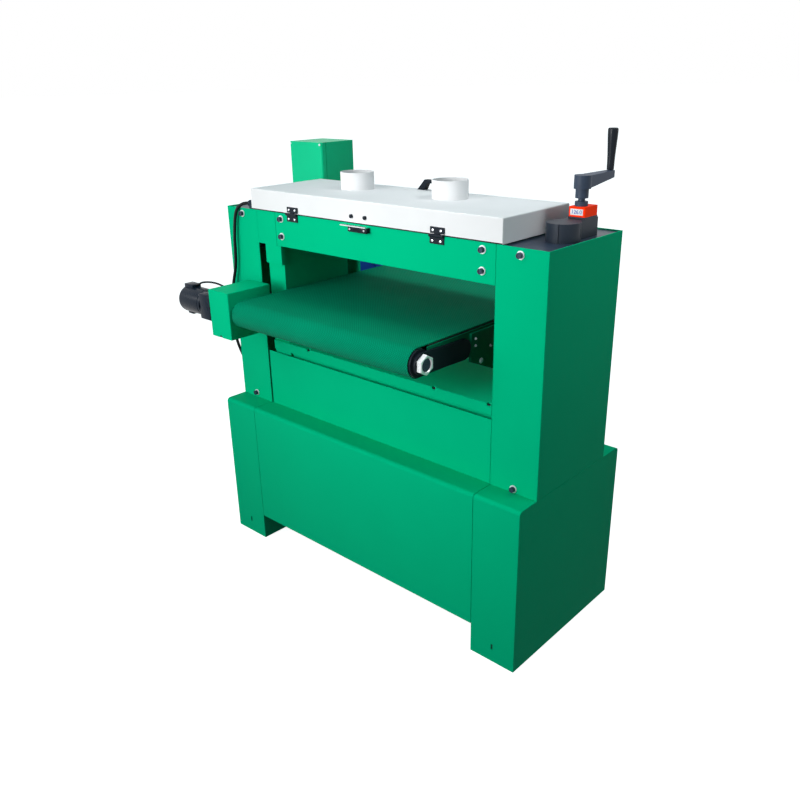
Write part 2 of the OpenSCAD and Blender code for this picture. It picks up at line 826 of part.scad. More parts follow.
// route from the left column's top front corner, across and back, with its rise in shares of the column
cable_route = [[104, 11], [93, 7], [80, 1], [68, -5], [58, -9], [51, -11], [46, -12], [41, -13],
  [38, -13], [31, -13], [15, -15], [1, -16], [-9, -13], [-14, -4], [-16, 14], [-16, 36], [-16, 49],
  [-16, 54]];
cable_rise_shares = [0.0235, 0.0235, 0.0188, 0.0063, -0.0157, -0.0502, -0.0942, -0.157, -0.2276,
  -0.3014, -0.3846, -0.4741, -0.584, -0.6939, -0.7849, -0.8556, -0.9074, -0.9513];
function cable_pts() = [for (i = [0:len(cable_route) - 1])
  [lc0 + cable_route[i][0], cf + cable_route[i][1], top_z + cable_rise_shares[i]*col_h]];
module cable() {
  color([0.05, 0.05, 0.06]) route_tube(curve(cable_pts(), 2), cable_r, cable_sides);
}
gland_r = 9;
gland_len = 16;
outlet_w = 14;
outlet_h = 22;
// gland beside the lid and outlet box on the column's left side
module cable_glands() {
  color([0.06, 0.06, 0.08]) {
    c0 = cable_pts()[0];
    c1 = cable_pts()[len(cable_route) - 1];
    xrod(c0[0], c0[0] + gland_len, c0[1], c0[2], gland_r);
    zrod(cap_z, c0[2], c0[0] + gland_len/2, c0[1], gland_len/2);
    slab(c1[0] - outlet_w, lc0, c1[1] - outlet_w, c1[1] + outlet_w, c1[2] - outlet_h, c1[2]);
  }
}

skirt_t = 4;
bar_f = 60;
bar_b = 100;
bar_y = [boxb - bar_f, cm, roll_y1 - bar_b];
tail_f = 130;
tail_r = 24;
tail_h = 22;
tail_gap = 2;
// plate under the belt, with cross bars and the left tail bearing
module bed() {
  bt = belt_top - belt_t;
  color([0.3, 0.32, 0.33]) difference() {
    union() {
      slab(belt0 + bed_in, belt1 - bed_in, roll_y0 + bed_off, roll_y1 - bed_off, bt - bed_t, bt);
      for (sx = [belt0 + bed_in, belt1 - bed_in - skirt_t])
        slab(sx, sx + skirt_t, roll_y0 + bed_off, roll_y1 - bed_off, bt - bed_skirt, bt - bed_t + eps);
      for (i = [0:2])
        slab(i == 0 ? box1 : (i == 2 ? belt0 - tail_gap : belt0 + bed_in), rail0, bar_y[i] - bar_h/2,
          bar_y[i] + bar_h/2, ax_z - bar_h/2, ax_z + bar_h/2);
      slab(belt0 - tail_gap - tail_w, belt0 - tail_gap, roll_y1 - tail_f, roll_y1 + tail_r,
        ax_z - tail_h, ax_z + tail_h);
    }
    xrod(belt0 - 2*tail_w, belt0, roll_y1, ax_z, axle_r + fit);
  }
}
rail_f = 30;
rail_r = 24;
// rail along the right edge of the conveyor
module side_rail() {
  color([0, 0.5, 0.35]) difference() {
    slab(rail0, rail1, roll_y0 + rail_f, roll_y1 + rail_r, belt_top - rail_drop - rail_h,
      belt_top - rail_drop);
    xrod(rail0 - rail_t, rail1 + rail_t, roll_y1, ax_z, axle_r + fit);
    xrod(rail0 - rail_t, rail1 + rail_t, roll_y0, ax_z, ring_r + gap);
  }
}
dn_r = 7;
dn_in = 44;
// housing of the feed drive, open below
module drive_box() {
  color([0, 0.6, 0.42]) difference() {
    slab(box0, box1, boxf, boxb, boxz, boxt);
    slab(box0 + box_t, box1 - box_t, boxf + box_t, boxb - box_t, boxz - box_t, boxt - box_t);
    xrod(box1 - 2*box_t, box1 + box_t, roll_y0, ax_z, axle_r + fit);
    xrod(box0 - box_t, box0 + 2*box_t, roll_y0, ax_z, stub_r + fit);
    yrod(boxf - box_t, boxf + 2*box_t, box0 + dn_in, boxz, dn_r);
  }
}
gear_edge = 3;
mb_in = 5;
mb_len = 44;
mb_w = 32;
mb_h = 8;
foot_len = 28;
foot_w = 26;
foot_h = 5;
// feed motor with its gearhead, terminal block and foot; it sits higher than the roller
module feed_motor() {
  mx = box0 - gear_len;
  m0 = mx - motor_len;
  color([0.1, 0.1, 0.12]) difference() {
    union() {
      slab(mx, box0, roll_y0 - gear_sq/2, roll_y0 + gear_sq/2, mot_ax - gear_sq/2, mot_ax + gear_sq/2);
      xrod(m0, mx + gear_edge, roll_y0, mot_ax, motor_r);
      slab(m0 + mb_in, m0 + mb_in + mb_len, roll_y0 - mb_w/2, roll_y0 + mb_w/2, mot_ax,
        mot_ax + motor_r + mb_h);
      slab(m0 + mb_in, m0 + mb_in + foot_len, roll_y0 - foot_w/2, roll_y0 + foot_w/2,
        mot_ax - motor_r - foot_h, mot_ax);
    }
    xrod(box0 - stub_len, box0 + gear_edge, roll_y0, ax_z, stub_r + fit);
  }
}
arm_sink = 6;
// arm and ring that hold the front roller on the right
module take_up() {
  color([0.08, 0.08, 0.1]) difference() {
    union() {
      xrod(rail1 - ring_t, rail1, roll_y0, ax_z, ring_r);
      along_x(rail1, rail1 + arm_t)
        loop2d([roll_y0, ax_z], [roll_y0 + arm_end - arm_r, ax_z - arm_sink], arm_r, arm_r, $fn = 32);
    }
    xrod(belt1, rail1 + 2*arm_t, roll_y0, ax_z, axle_r + fit);
  }
}
nut_bore = 18;
// hollow hexagon nut of the take-up
module take_up_nut() {
  nx = rail1 + arm_t;
  color([0.75, 0.76, 0.78]) difference() {
    translate([nx, roll_y0, ax_z]) rotate([0, 90, 0]) cylinder(r = nut_af/sqrt(3), h = nut_t, $fn = 6);
    xrod(nx - nut_t, nx + 2*nut_t, roll_y0, ax_z, nut_bore);
  }
}
// conveyor belt
module feed_belt() {
  color([0, 0.35, 0.23]) along_x(belt0, belt1)
    band2d([roll_y0, ax_z], [roll_y1, ax_z], roll_r + gap, roll_r + gap, belt_t, $fn = 64);
}
ll_in = 8;
ll_t = 10;
ll_low = 24;
ll_h = 70;
ll_w = 25;
// bracket and nut on the left screw
module left_lift() {
  z0 = lift_z + ll_low;
  color([0.3, 0.32, 0.33]) difference() {
    union() {
      slab(lc1 + ll_in, lc1 + ll_in + ll_t, boxb, ls_y + ll_w, z0, z0 + ll_h);
      slab(ls_x, lc1 + ll_in + eps, ls_y - nut_r, ls_y + nut_r, z0, z0 + lug_t);
      zrod(z0 - lug_t, z0 - lug_t + nut_h, ls_x, ls_y, nut_r);
    }
    zrod(z0 - nut_h, z0 + 2*nut_h, ls_x, ls_y, screw_r + fit);
  }
}
rl_t = 8;
rl_f = 32;
rl_m = 140;
rl_r = 255;
rl_top = 11;
rl_a = 88;
rl_b = 136;
// bracket and nut on the right screw
module right_lift() {
  color([0, 0.45, 0.32]) difference() {
    union() {
      along_x(rail1, rail1 + rl_t) polygon([[cf + rl_f, belt_top - rl_a], [cf + rl_m, belt_top - rl_b],
        [cf + rl_r, belt_top - rl_b], [cf + rl_r, belt_top - rl_top], [cf + rl_f, belt_top - rl_top]]);
      slab(rail1 + rl_t - eps, rs_x, rs_y - nut_r, rs_y + nut_r, lift_z, lift_z + lug_t);
      zrod(lift_z - lug_t, lift_z - lug_t + nut_h, rs_x, rs_y, nut_r);
    }
    zrod(lift_z - nut_h, lift_z + 2*nut_h, rs_x, rs_y, screw_r + fit);
  }
}
rb_t = 4;
// bolts on the right bracket: back from the columns, up from the belt, and radius
rail_bolt_pts = [[49, -27, 4], [49, -46, 4], [115, -62, 4], [75, -94, 8]];
module rail_bolts() {
  color([0.8, 0.8, 0.82]) for (p = rail_bolt_pts)
    xrod(rail1 + rl_t, rail1 + rl_t + rb_t, cf + p[0], belt_top + p[1], p[2]);
}
lead_r = 3;
lead_sides = 8;
lead_start = motor_len - mb_in - mb_len;
lead_span = gear_len + lead_start;
// route from the motor's block to the drive box: shares of the way, then back and up from the motor's top
lead_shares = [-0.01, 0.08, 0.21, 0.44, 0.66, 0.85, 1];
lead_route = [[0, 4], [2, 9], [6, 16], [12, 20], [19, 19], [26, 13], [30, 6]];
// lead from the motor to the drive box
module motor_lead() {
  color([0.05, 0.05, 0.06]) route_tube(curve([for (i = [0:len(lead_route) - 1])
    [box0 - gear_len - lead_start + lead_shares[i]*lead_span, roll_y0 + lead_route[i][0],
    mot_ax + motor_r + lead_route[i][1]]], 3), lead_r, lead_sides);
}
roll_in = 2;
shaft_end = 4;
axle_cap = 16.5;
// front roller, driven by the feed motor
module drive_roller() {
  color([0.6, 0.61, 0.63]) {
    xrod(belt0 + roll_in, belt1 - roll_in, roll_y0, ax_z, roll_r);
    xrod(box0 + 2*box_t, belt0 + 2*roll_in, roll_y0, ax_z, axle_r);
    xrod(box0 - stub_len + roll_in, box0 + 3*box_t, roll_y0, ax_z, stub_r);
    xrod(belt1 - 2*roll_in, rail1 + arm_t + nut_t - shaft_end, roll_y0, ax_z, axle_r);
    xrod(rail1 + arm_t + gap, rail1 + arm_t + nut_t - shaft_end, roll_y0, ax_z, axle_cap);
  }
}
// rear roller
module tail_roller() {
  color([0.6, 0.61, 0.63]) {
    xrod(belt0 + roll_in, belt1 - roll_in, roll_y1, ax_z, roll_r);
    xrod(belt0 - tail_gap - tail_w, belt0 + 2*roll_in, roll_y1, ax_z, axle_r);
    xrod(belt1 - 2*roll_in, rail1 + shaft_end, roll_y1, ax_z, axle_r);
  }
}
rs_top = 19;
// lifting screws with their chain wheels
module right_screw() {
  color([0.55, 0.56, 0.58]) {
    zrod(base_h + sheet_t + gap, cap_z + rs_top, rs_x, rs_y, screw_r);
    zrod(wheel_z, wheel_z + lift_belt_w, rs_x, rs_y, big_r);
    zrod(chain_z, chain_z + chain_w, rs_x, rs_y, wheel_r);
  }
}
module left_screw() {
  color([0.55, 0.56, 0.58]) {
    zrod(base_h + sheet_t + gap, beam_z - sb_drop + lug_t, ls_x, ls_y, screw_r);
    zrod(chain_z, chain_z + chain_w, ls_x, ls_y, wheel_r);
  }
}
cr_flange = 16;
cr_flange_h = 11;
cr_neck = 8.5;
cr_neck_h = 8;
cr_sleeve = 16;
cr_sleeve_h = 22;
cr_hub = 21;
cr_hub_h = 32;
arm_root = 19;
arm_tip = 12;
arm_tip_h = 18;
arm_low = 1;
arm_edge = 1;
grip_pin = 5;
grip_pin_share = 0.6;
crank_z = ind_z + ind_h + gap;
arm_top = crank_z + cr_flange_h + cr_neck_h + cr_sleeve_h + cr_hub_h;
grip_y = crank_y + crank_reach;
// crank with its spindle and belt wheel
module crank() {
  z1 = crank_z + cr_flange_h;
  z2 = z1 + cr_neck_h;
  z3 = z2 + cr_sleeve_h;
  color([0.12, 0.13, 0.16]) {
    zrod(cap_z - cap_t, z2, crank_x, crank_y, cr_neck);
    zrod(cap_z - cap_t, crank_z + eps, crank_x, crank_y, screw_r);
    zrod(wheel_z, wheel_z + lift_belt_w, crank_x, crank_y, small_r);
    zrod(crank_z, z1, crank_x, crank_y, cr_flange);
    zrod(z2 - eps, z3 + eps, crank_x, crank_y, cr_sleeve);
    zrod(z3, arm_top, crank_x, crank_y, cr_hub);
    hull() {
      zrod(z3 + arm_low, arm_top - arm_edge, crank_x, crank_y, arm_root, $fn = 32);
      zrod(arm_top - arm_tip_h, arm_top - arm_edge, crank_x, grip_y, arm_tip, $fn = 32);
    }
    zrod(arm_top - arm_tip_h, arm_top + grip_len*grip_pin_share, crank_x, grip_y, grip_pin);
  }
}
grip_lo = 9;
grip_mid = 10;
grip_waist_share = 0.3;
grip_swell_share = 0.6;
grip_bore_share = 0.65;
grip_hi = 13;
grip_round = 4;
// grip that turns on the crank's pin
module crank_grip() {
  color([0.06, 0.06, 0.08]) translate([crank_x, grip_y, arm_top + gap]) rotate_extrude() polygon([
    [grip_pin + fit, 0], [grip_lo, 0], [grip_mid, grip_len*grip_waist_share],
    [grip_hi, grip_len*grip_swell_share], [grip_hi, grip_len - grip_round],
    [grip_hi - grip_round/2, grip_len], [0, grip_len], [0, grip_len*grip_bore_share],
    [grip_pin + fit, grip_len*grip_bore_share]]);
}

// rubber roller that presses the abrasive, with its pulley
module contact_roller() {
  color([0.15, 0.15, 0.16]) {
    xrod(belt0 + abr_in/2, belt1 - abr_in/2, con_y, con_z, contact_r);
    xrod(pul_x, plate_x + plate_t + brg_t + shaft_end, con_y, con_z, shaft_r);
    xrod(pul_x, pul_x + pul_w, con_y, con_z, pul_con);
  }
}
// roller that tightens the abrasive
module tension_roller() {
  color([0.5, 0.51, 0.53]) {
    xrod(belt0 + abr_in/2, belt1 - abr_in/2, ten_y, ten_z, tension_r);
    xrod(post1 - wall_t - brg_t, plate_x + plate_t + brg_t + shaft_end, ten_y, ten_z, shaft_r);
  }
}
rotor_end = 60;
// motor shaft with its pulley
module motor_rotor() {
  color([0.5, 0.51, 0.53]) {
    xrod(pul_x, guard_x1 + rotor_end, mot_y, mot_z, mot_shaft);
    xrod(pul_x, pul_x + pul_w, mot_y, mot_z, pul_mot);
  }
}

// lid with two dust collars
module lid() {
  color([0.93, 0.96, 0.96]) difference() {
    union() {
      slab(lid0, lid1, lid_y, lid_y + lid_d, lid_z, lid_z + lid_h);
      for (cx = collar_xs) zrod(lid_z + lid_h - eps, lid_z + lid_h + collar_h, cx, collar_y, collar_r);
    }
    slab(lid0 + sheet_t, lid1 - sheet_t, lid_y + sheet_t, lid_y + lid_d - sheet_t, lid_z - sheet_t,
      lid_z + lid_h - sheet_t);
    for (cx = collar_xs)
      zrod(lid_z + lid_h - 2*sheet_t, lid_z + lid_h + 2*collar_h, cx, collar_y, collar_r - collar_wall);
  }
}
lid_screw_r = 5.5;
lid_screw_h = 5;
lid_screw_z = 19;
lid_screw_a = 34;
lid_screw_b = 18;
lid_screws = [xm - lid_screw_a, xm + lid_screw_b];
// hinge leaves, screws and handle of the lid
module lid_trim() {
  hz = lid_z + lid_h;
  color([0.08, 0.08, 0.1]) {
    for (hx = hinge_xs) difference() {
      union() {
        slab(hx - hinge_w/2, hx + hinge_w/2, lid_y - leaf_t, lid_y, hinge_z + leaf_off,
          hinge_z + leaf_off + leaf_h);
        slab(hx - hinge_tab/2, hx + hinge_tab/2, hinge_y, lid_y, hinge_z, hinge_z + leaf_off + eps);
        xrod(hx - hinge_tab/2, hx + hinge_tab/2, hinge_y, hinge_z, knuckle_r);
      }
      xrod(hx - hinge_w, hx + hinge_w, hinge_y, hinge_z, pin_r + fit);
    }
    for (sx = lid_screws) yrod(lid_y - lid_screw_h, lid_y, sx, lid_z + lid_screw_z, lid_screw_r);
    along_y(lid_y + lid_d - handle_back, lid_y + lid_d - handle_back + handle_t) polygon([
      [handle_x - handle_w/2, hz], [handle_x - handle_w/2 + handle_in, hz + handle_h],
      [handle_x + handle_w/2 - handle_in, hz + handle_h], [handle_x + handle_w/2, hz],
      [handle_x + handle_w/2 - handle_in, hz], [handle_x + handle_w/2 - handle_in - handle_bar,
      hz + handle_h - handle_bar], [handle_x - handle_w/2 + handle_in + handle_bar,
      hz + handle_h - handle_bar], [handle_x - handle_w/2 + handle_in, hz]]);
  }
}

btn_in = 8;
// controls on the rear face of the box
module start_button() {
  color([0.05, 0.5, 0.15]) yrod(cb_y1 - btn_in, cb_y1 + btn_out, ctl_x - ctl_step, ctl_mid, btn_r);
}
module stop_button() {
  color([0.75, 0.05, 0.05]) yrod(cb_y1 - btn_in, cb_y1 + btn_out, ctl_x + ctl_step, ctl_mid, btn_r);
}
module estop_button() {
  color([0.8, 0.05, 0.05]) {
    yrod(cb_y1 - btn_in, cb_y1 + stop_lift + eps, ctl_x, ctl_hi, stop_stem);
    yrod(cb_y1 + stop_lift, cb_y1 + stop_lift + stop_t, ctl_x, ctl_hi, stop_r);
  }
}
module speed_knob() {
  color([0.06, 0.06, 0.08]) {
    yrod(cb_y1 - btn_in, cb_y1 + gap + eps, ctl_x, ctl_lo, knob_pin);
    yrod(cb_y1 + gap, cb_y1 + gap + knob_t, ctl_x, ctl_lo, knob_r);
  }
}

inner_frame();
left_leg();
right_leg();
front_panel();
rear_panel();
left_column();
right_column();
column_caps();
front_beam();
rear_beam();
left_upright();
apron();
deck();
bearing_plate();
head_bearings();
pressure_shoes();
abrasive_belt();
main_motor();
belt_guard();
drive_belt();
control_box();
control_cover();
gear_cover();
indicator();
lift_belt();
lower_chain();
screw_bearings();
hinge_leaves();
interlock();
interlock_plate();
washers();
bolts();
cable();
cable_glands();
bed();
side_rail();
drive_box();
feed_motor();
take_up();
take_up_nut();
feed_belt();
left_lift();
right_lift();
rail_bolts();
motor_lead();
drive_roller();
tail_roller();
right_screw();
left_screw();
crank();
crank_grip();
contact_roller();
tension_roller();
motor_rotor();
lid();
lid_trim();
start_button();
stop_button();
estop_button();
speed_knob();
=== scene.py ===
"""Looks of a green wide belt sander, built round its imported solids. Metres, front towards -Y."""
import json
import math

import bmesh
import bpy
from mathutils import Matrix, Vector


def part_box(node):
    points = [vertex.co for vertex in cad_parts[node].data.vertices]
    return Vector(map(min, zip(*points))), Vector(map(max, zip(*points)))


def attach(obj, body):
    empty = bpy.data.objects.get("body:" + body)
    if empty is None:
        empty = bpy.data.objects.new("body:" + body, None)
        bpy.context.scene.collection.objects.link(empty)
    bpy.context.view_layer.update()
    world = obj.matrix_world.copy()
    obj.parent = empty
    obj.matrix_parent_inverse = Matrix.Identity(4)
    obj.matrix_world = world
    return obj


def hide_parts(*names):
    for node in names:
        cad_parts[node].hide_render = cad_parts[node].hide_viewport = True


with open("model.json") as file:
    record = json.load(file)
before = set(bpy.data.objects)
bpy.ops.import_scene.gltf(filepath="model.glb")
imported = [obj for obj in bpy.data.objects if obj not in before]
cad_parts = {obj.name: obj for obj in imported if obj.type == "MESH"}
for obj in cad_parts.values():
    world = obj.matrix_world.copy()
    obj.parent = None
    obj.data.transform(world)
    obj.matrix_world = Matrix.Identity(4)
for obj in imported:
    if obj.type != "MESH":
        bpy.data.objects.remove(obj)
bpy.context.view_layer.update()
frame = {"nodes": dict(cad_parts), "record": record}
MM = 0.001


def low(node):
    return Vector(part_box(node)[0])


def high(node):
    return Vector(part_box(node)[1])


def mid(node):
    return (low(node) + high(node)) / 2


# Planes that the details hang on, read from the solids
COLUMN_X = low("left_column").x
COLUMN_Y = low("left_column").y
TOP_Z = high("left_column").z

# Camera at the photograph's viewpoint
IMAGE_W = 800
SENSOR_W = 36
CAMERA_AT = Vector((low("left_leg").x + 2.1536, low("left_leg").y - 1.4649, 1.5012))
CAMERA_YAW = math.radians(42.66)
CAMERA_PITCH = math.radians(22.036)
CAMERA_ROLL = math.radians(1.099)
FOCAL_PX = 797.63


def make_camera():
    data = bpy.data.cameras.new("camera")
    data.sensor_width = SENSOR_W
    data.lens = FOCAL_PX / IMAGE_W * SENSOR_W
    camera = bpy.data.objects.new("camera", data)
    flat = math.cos(CAMERA_PITCH)
    forward = Vector((-math.sin(CAMERA_YAW) * flat, math.cos(CAMERA_YAW) * flat,
                      -math.sin(CAMERA_PITCH)))
    right = forward.cross(Vector((0, 0, 1))).normalized()
    down = forward.cross(right)
    turned_right = math.cos(CAMERA_ROLL) * right + math.sin(CAMERA_ROLL) * down
    turned_down = math.cos(CAMERA_ROLL) * down - math.sin(CAMERA_ROLL) * right
    turn = Matrix((turned_right, -turned_down, -forward)).transposed()
    camera.matrix_world = Matrix.Translation(CAMERA_AT) @ turn.to_4x4()
    bpy.context.collection.objects.link(camera)
    bpy.context.scene.camera = camera


make_camera()


# Materials
def node_material(name):
    material = bpy.data.materials.new(name)
    material.use_nodes = True
    shader = material.node_tree.nodes["Principled BSDF"]
    return material, material.node_tree, shader


def noise(tree, scale):
    place = tree.nodes.new("ShaderNodeTexCoord")
    texture = tree.nodes.new("ShaderNodeTexNoise")
    texture.inputs["Scale"].default_value = scale
    tree.links.new(place.outputs["Object"], texture.inputs["Vector"])
    return texture.outputs["Fac"]


def ramp(tree, value, start, end, a=0.35, b=0.65):
    """A colour that goes from start to end as the value goes from a to b."""
    spread = tree.nodes.new("ShaderNodeValToRGB")
    for element, position, colour in zip(spread.color_ramp.elements, (a, b), (start, end)):
        element.position = position
        element.color = (*colour, 1)
    tree.links.new(value, spread.inputs["Fac"])
    return spread.outputs["Color"]


def rescale(tree, value, span=(0, 1), into=(0, 1)):
    """The value with one span of numbers stretched into another."""
    scaled = tree.nodes.new("ShaderNodeMapRange")
    for socket, number in zip(("From Min", "From Max", "To Min", "To Max"), (*span, *into)):
        scaled.inputs[socket].default_value = number
    tree.links.new(value, scaled.inputs["Value"])
    return scaled.outputs["Result"]


def combine(tree, operation, first, second=None):
    """The result of a math node. The second value may be a plain number."""
    worked = tree.nodes.new("ShaderNodeMath")
    worked.operation = operation
    tree.links.new(first, worked.inputs[0])
    if isinstance(second, float):
        worked.inputs[1].default_value = second
    elif second is not None:
        tree.links.new(second, worked.inputs[1])
    return worked.outputs["Value"]


def ripple(tree, place, pitch):
    """A sine wave, -1 to 1, along a coordinate."""
    return combine(tree, "SINE", combine(tree, "MULTIPLY", place, 2 * math.pi / pitch))


def split_place(tree, coords):
    place = tree.nodes.new("ShaderNodeTexCoord")
    split = tree.nodes.new("ShaderNodeSeparateXYZ")
    tree.links.new(place.outputs[coords], split.inputs["Vector"])
    return split.outputs


def mix_shaders(tree, factor, first, second, output):
    either = tree.nodes.new("ShaderNodeMixShader")
    tree.links.new(factor, either.inputs["Fac"])
    tree.links.new(first, either.inputs[1])
    tree.links.new(second, either.inputs[2])
    tree.links.new(either.outputs["Shader"], tree.nodes[output].inputs["Surface"])


def bump(tree, shader, height, distance, strength=1.0):
    raised = tree.nodes.new("ShaderNodeBump")
    raised.inputs["Strength"].default_value = strength
    raised.inputs["Distance"].default_value = distance
    tree.links.new(height, raised.inputs["Height"])
    tree.links.new(raised.outputs["Normal"], shader.inputs["Normal"])


def shade(colour, share):
    return tuple(c * share for c in colour)


TONE_SCALE = 7
GLOSS_SCALE = 35
SMOOTH = 0.01 * MM


def finish_material(name, colour, rough, metal=0.0, vary=0.05, grain=900, depth=0.04 * MM, gloss=0.5,
                    tint=(1, 1, 1), uneven=0.05):
    """A coat of paint, plastic or metal: soft patches of tone, uneven gloss and a fine skin."""
    material, tree, shader = node_material(name)
    tone = ramp(tree, noise(tree, TONE_SCALE), shade(colour, 1 - vary), shade(colour, 1 + vary))
    tree.links.new(tone, shader.inputs["Base Color"])
    rough_range = (rough - uneven, rough + uneven)
    tree.links.new(rescale(tree, noise(tree, GLOSS_SCALE), into=rough_range), shader.inputs["Roughness"])
    shader.inputs["Metallic"].default_value = metal
    shader.inputs["Specular IOR Level"].default_value = gloss
    shader.inputs["Specular Tint"].default_value = (*tint, 1)
    bump(tree, shader, noise(tree, grain), depth)
    return material


# Finishes of the record's slots. The paints are nearly matt, so that the white surroundings don't pale them.
GREEN = (0.0, 0.49, 0.228)
GREEN_SHEEN = (0.02, 1.0, 0.8)
FINISHES = {
    "green_paint": dict(colour=GREEN, rough=0.45, vary=0.01, depth=SMOOTH, gloss=0.006,
                        tint=GREEN_SHEEN, uneven=0.01),
    "white_paint": dict(colour=(0.84, 0.83, 0.84), rough=0.5, vary=0.015, depth=SMOOTH, gloss=0.004),
    "black_paint": dict(colour=(0.032, 0.048, 0.082), rough=0.35, vary=0.15, gloss=0.2),
    "blue_paint": dict(colour=(0.012, 0.09, 0.54), rough=0.3, gloss=0.3),
    "black_plastic": dict(colour=(0.022, 0.032, 0.05), rough=0.42, vary=0.12, depth=0.08 * MM, gloss=0.15),
    "orange_plastic": dict(colour=(1.0, 0.03, 0.002), rough=0.45, gloss=0.015),
    "red_plastic": dict(colour=(0.62, 0.012, 0.009), rough=0.25, gloss=0.4),
    "green_plastic": dict(colour=(0.01, 0.34, 0.06), rough=0.25, gloss=0.4),
    "steel": dict(colour=(0.55, 0.56, 0.58), rough=0.34, metal=1.0, vary=0.1, grain=1500),
    "zinc": dict(colour=(0.8, 0.82, 0.85), rough=0.2, metal=1.0, vary=0.08, grain=1200),
    "table_iron": dict(colour=(0.09, 0.1, 0.1), rough=0.55, metal=0.6, vary=0.2, depth=0.2 * MM),
    "belt_rubber": dict(colour=(0.0, 0.13, 0.065), rough=0.5, gloss=0.2),
    "black_rubber": dict(colour=(0.004, 0.005, 0.007), rough=0.45, vary=0.15, depth=0.1 * MM, gloss=0.15),
    "abrasive_cloth": dict(colour=(0.16, 0.045, 0.02), rough=0.9, vary=0.3, grain=1600, depth=0.6 * MM),
}
MATERIALS = {name: finish_material(name, **finish) for name, finish in FINISHES.items()}

# The counter's orange has a painted glow: a slight emission that brightens it as painted light, though it is no
# lamp
PAINTED_GLOW_STRENGTH = 0.22
ORANGE_PAINTED_GLOW = (1.0, 0.06, 0.01, 1)
ORANGE_SHADER = MATERIALS["orange_plastic"].node_tree.nodes["Principled BSDF"]
ORANGE_SHADER.inputs["Emission Color"].default_value = ORANGE_PAINTED_GLOW
ORANGE_SHADER.inputs["Emission Strength"].default_value = PAINTED_GLOW_STRENGTH

# Finishes of single pieces
# Control box paint: the green a quarter brighter, a painted highlight of the glare on its front
CAST_PAINTED_HIGHLIGHT = finish_material("cast_painted_highlight", shade(GREEN, 1.25), 0.36, vary=0.03, grain=420, depth=0.3 * MM,
                             gloss=0.1)
# Deck top: a paler copy of the green, painted light on the faces that look up
DECK_TOP_PAINTED_LIGHT = finish_material("deck_top_painted_light", shade(GREEN, 1.75), 0.45, vary=0.01, depth=SMOOTH, gloss=0.02,
                             tint=GREEN_SHEEN, uneven=0.01)
# A darker copy of the green: painted shade for the lift bracket and the side rail, which sit in shadow
GREEN_PAINTED_SHADE = finish_material("green_painted_shade", shade(GREEN, 0.4), 0.45, gloss=0.02, tint=GREEN_SHEEN)
COVER_BLACK = finish_material("cover_black", (0.016, 0.024, 0.038), 0.5, vary=0.1, gloss=0.25)
CRANK_MATT = finish_material("crank_matt", (0.034, 0.052, 0.088), 0.5, vary=0.1, gloss=0.25)
BLACK_TRIM = finish_material("black_trim", (0.007, 0.011, 0.018), 0.4, vary=0.12, gloss=0.12)
MOTOR_GLOSS = finish_material("motor_gloss", (0.007, 0.014, 0.026), 0.28, vary=0.1, depth=SMOOTH, gloss=0.1)
GRIP_GLOSS = finish_material("grip_gloss", (0.01, 0.014, 0.021), 0.2, vary=0.1, gloss=0.15)
NUT_PLATE = finish_material("nut_plate", (0.84, 0.86, 0.88), 0.32, metal=0.4, vary=0.08)
# Pale, barely metallic grey for washers and bracket bolts: painted glints, bright even in shade
PLATED_PAINTED_GLINT = finish_material("plated_painted_glint", (0.82, 0.85, 0.9), 0.35, metal=0.25, vary=0.06)


def dress_solids():
    """Gives every solid the material that its slot in the record names."""
    for entry in frame["record"]["subparts"]:
        solid = frame["nodes"][entry["node"]]
        solid.data.materials.clear()
        solid.data.materials.append(MATERIALS[entry["material_slot"]])


dress_solids()


def piece(name, mesh, body, slot, material=None):
    """A new piece that rides on a body, with the finish of one of the record's slots."""
    obj = bpy.data.objects.new(name, mesh)
    bpy.context.collection.objects.link(obj)
    mesh.materials.clear()
    mesh.materials.append(material or MATERIALS[slot])
    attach(obj, body)
    return obj


# Cable that hangs before the left column, from its top gland to the gland in its side
CABLE_R = 5 * MM
CABLE_STEPS = 6
TUBE_STEPS = 6
CABLE_ROUTE = [
    (104, 11, 15), (93, 7, 15), (80, 1, 12), (68, -5, 4), (58, -9, -10), (51, -11, -32), (46, -12, -60),
    (41, -13, -100), (38, -13, -145), (31, -13, -192), (15, -15, -245), (1, -16, -302), (-9, -13, -372),
    (-14, -4, -442), (-16, 14, -500), (-16, 36, -545), (-16, 49, -578), (-16, 54, -606)]


def smooth_route(points, steps):
    """Points on one smooth curve through the given points."""
    last = len(points) - 1
    route = []
    for i in range(last):
        a, b = points[max(i - 1, 0)], points[i]
        c, d = points[i + 1], points[min(i + 2, last)]
        for k in range(steps):
            t = k / steps
            route.append((2 * b + (c - a) * t + (2 * a - 5 * b + 4 * c - d) * t**2
                          + (3 * b - a - 3 * c + d) * t**3) / 2)
    route.append(points[last])
    return route


def tube_along(name, route, radius):
    curve = bpy.data.curves.new(name, "CURVE")
    curve.dimensions = "3D"
    curve.bevel_depth = radius
    curve.bevel_resolution = TUBE_STEPS
    curve.use_fill_caps = True
    spline = curve.splines.new("POLY")
    spline.points.add(len(route) - 1)
    for point, place in zip(spline.points, route):
        point.co = (*place, 1)
    return curve


def make_cable():
    corner = Vector((COLUMN_X, COLUMN_Y, TOP_Z))
    route = smooth_route([corner + Vector(p) * MM for p in CABLE_ROUTE], CABLE_STEPS)
    cable = piece("cable_run", tube_along("cable_run", route, CABLE_R), "frame", "black_rubber")
    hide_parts("cable")


make_cable()


# Solids with their sharp outer edges rounded
WELD = 0.01 * MM
FLAT = math.radians(0.5)
SHARP = math.radians(40)
SMOOTH_BEND = math.radians(32)
BEND_STEPS = 3
BROAD = 2.4


def welded(node):
    """A copy of a solid's mesh with its corners joined."""
    bm = bmesh.new()
    bm.from_mesh(frame["nodes"][node].data)
    bmesh.ops.remove_doubles(bm, verts=bm.verts, dist=WELD)
    return bm


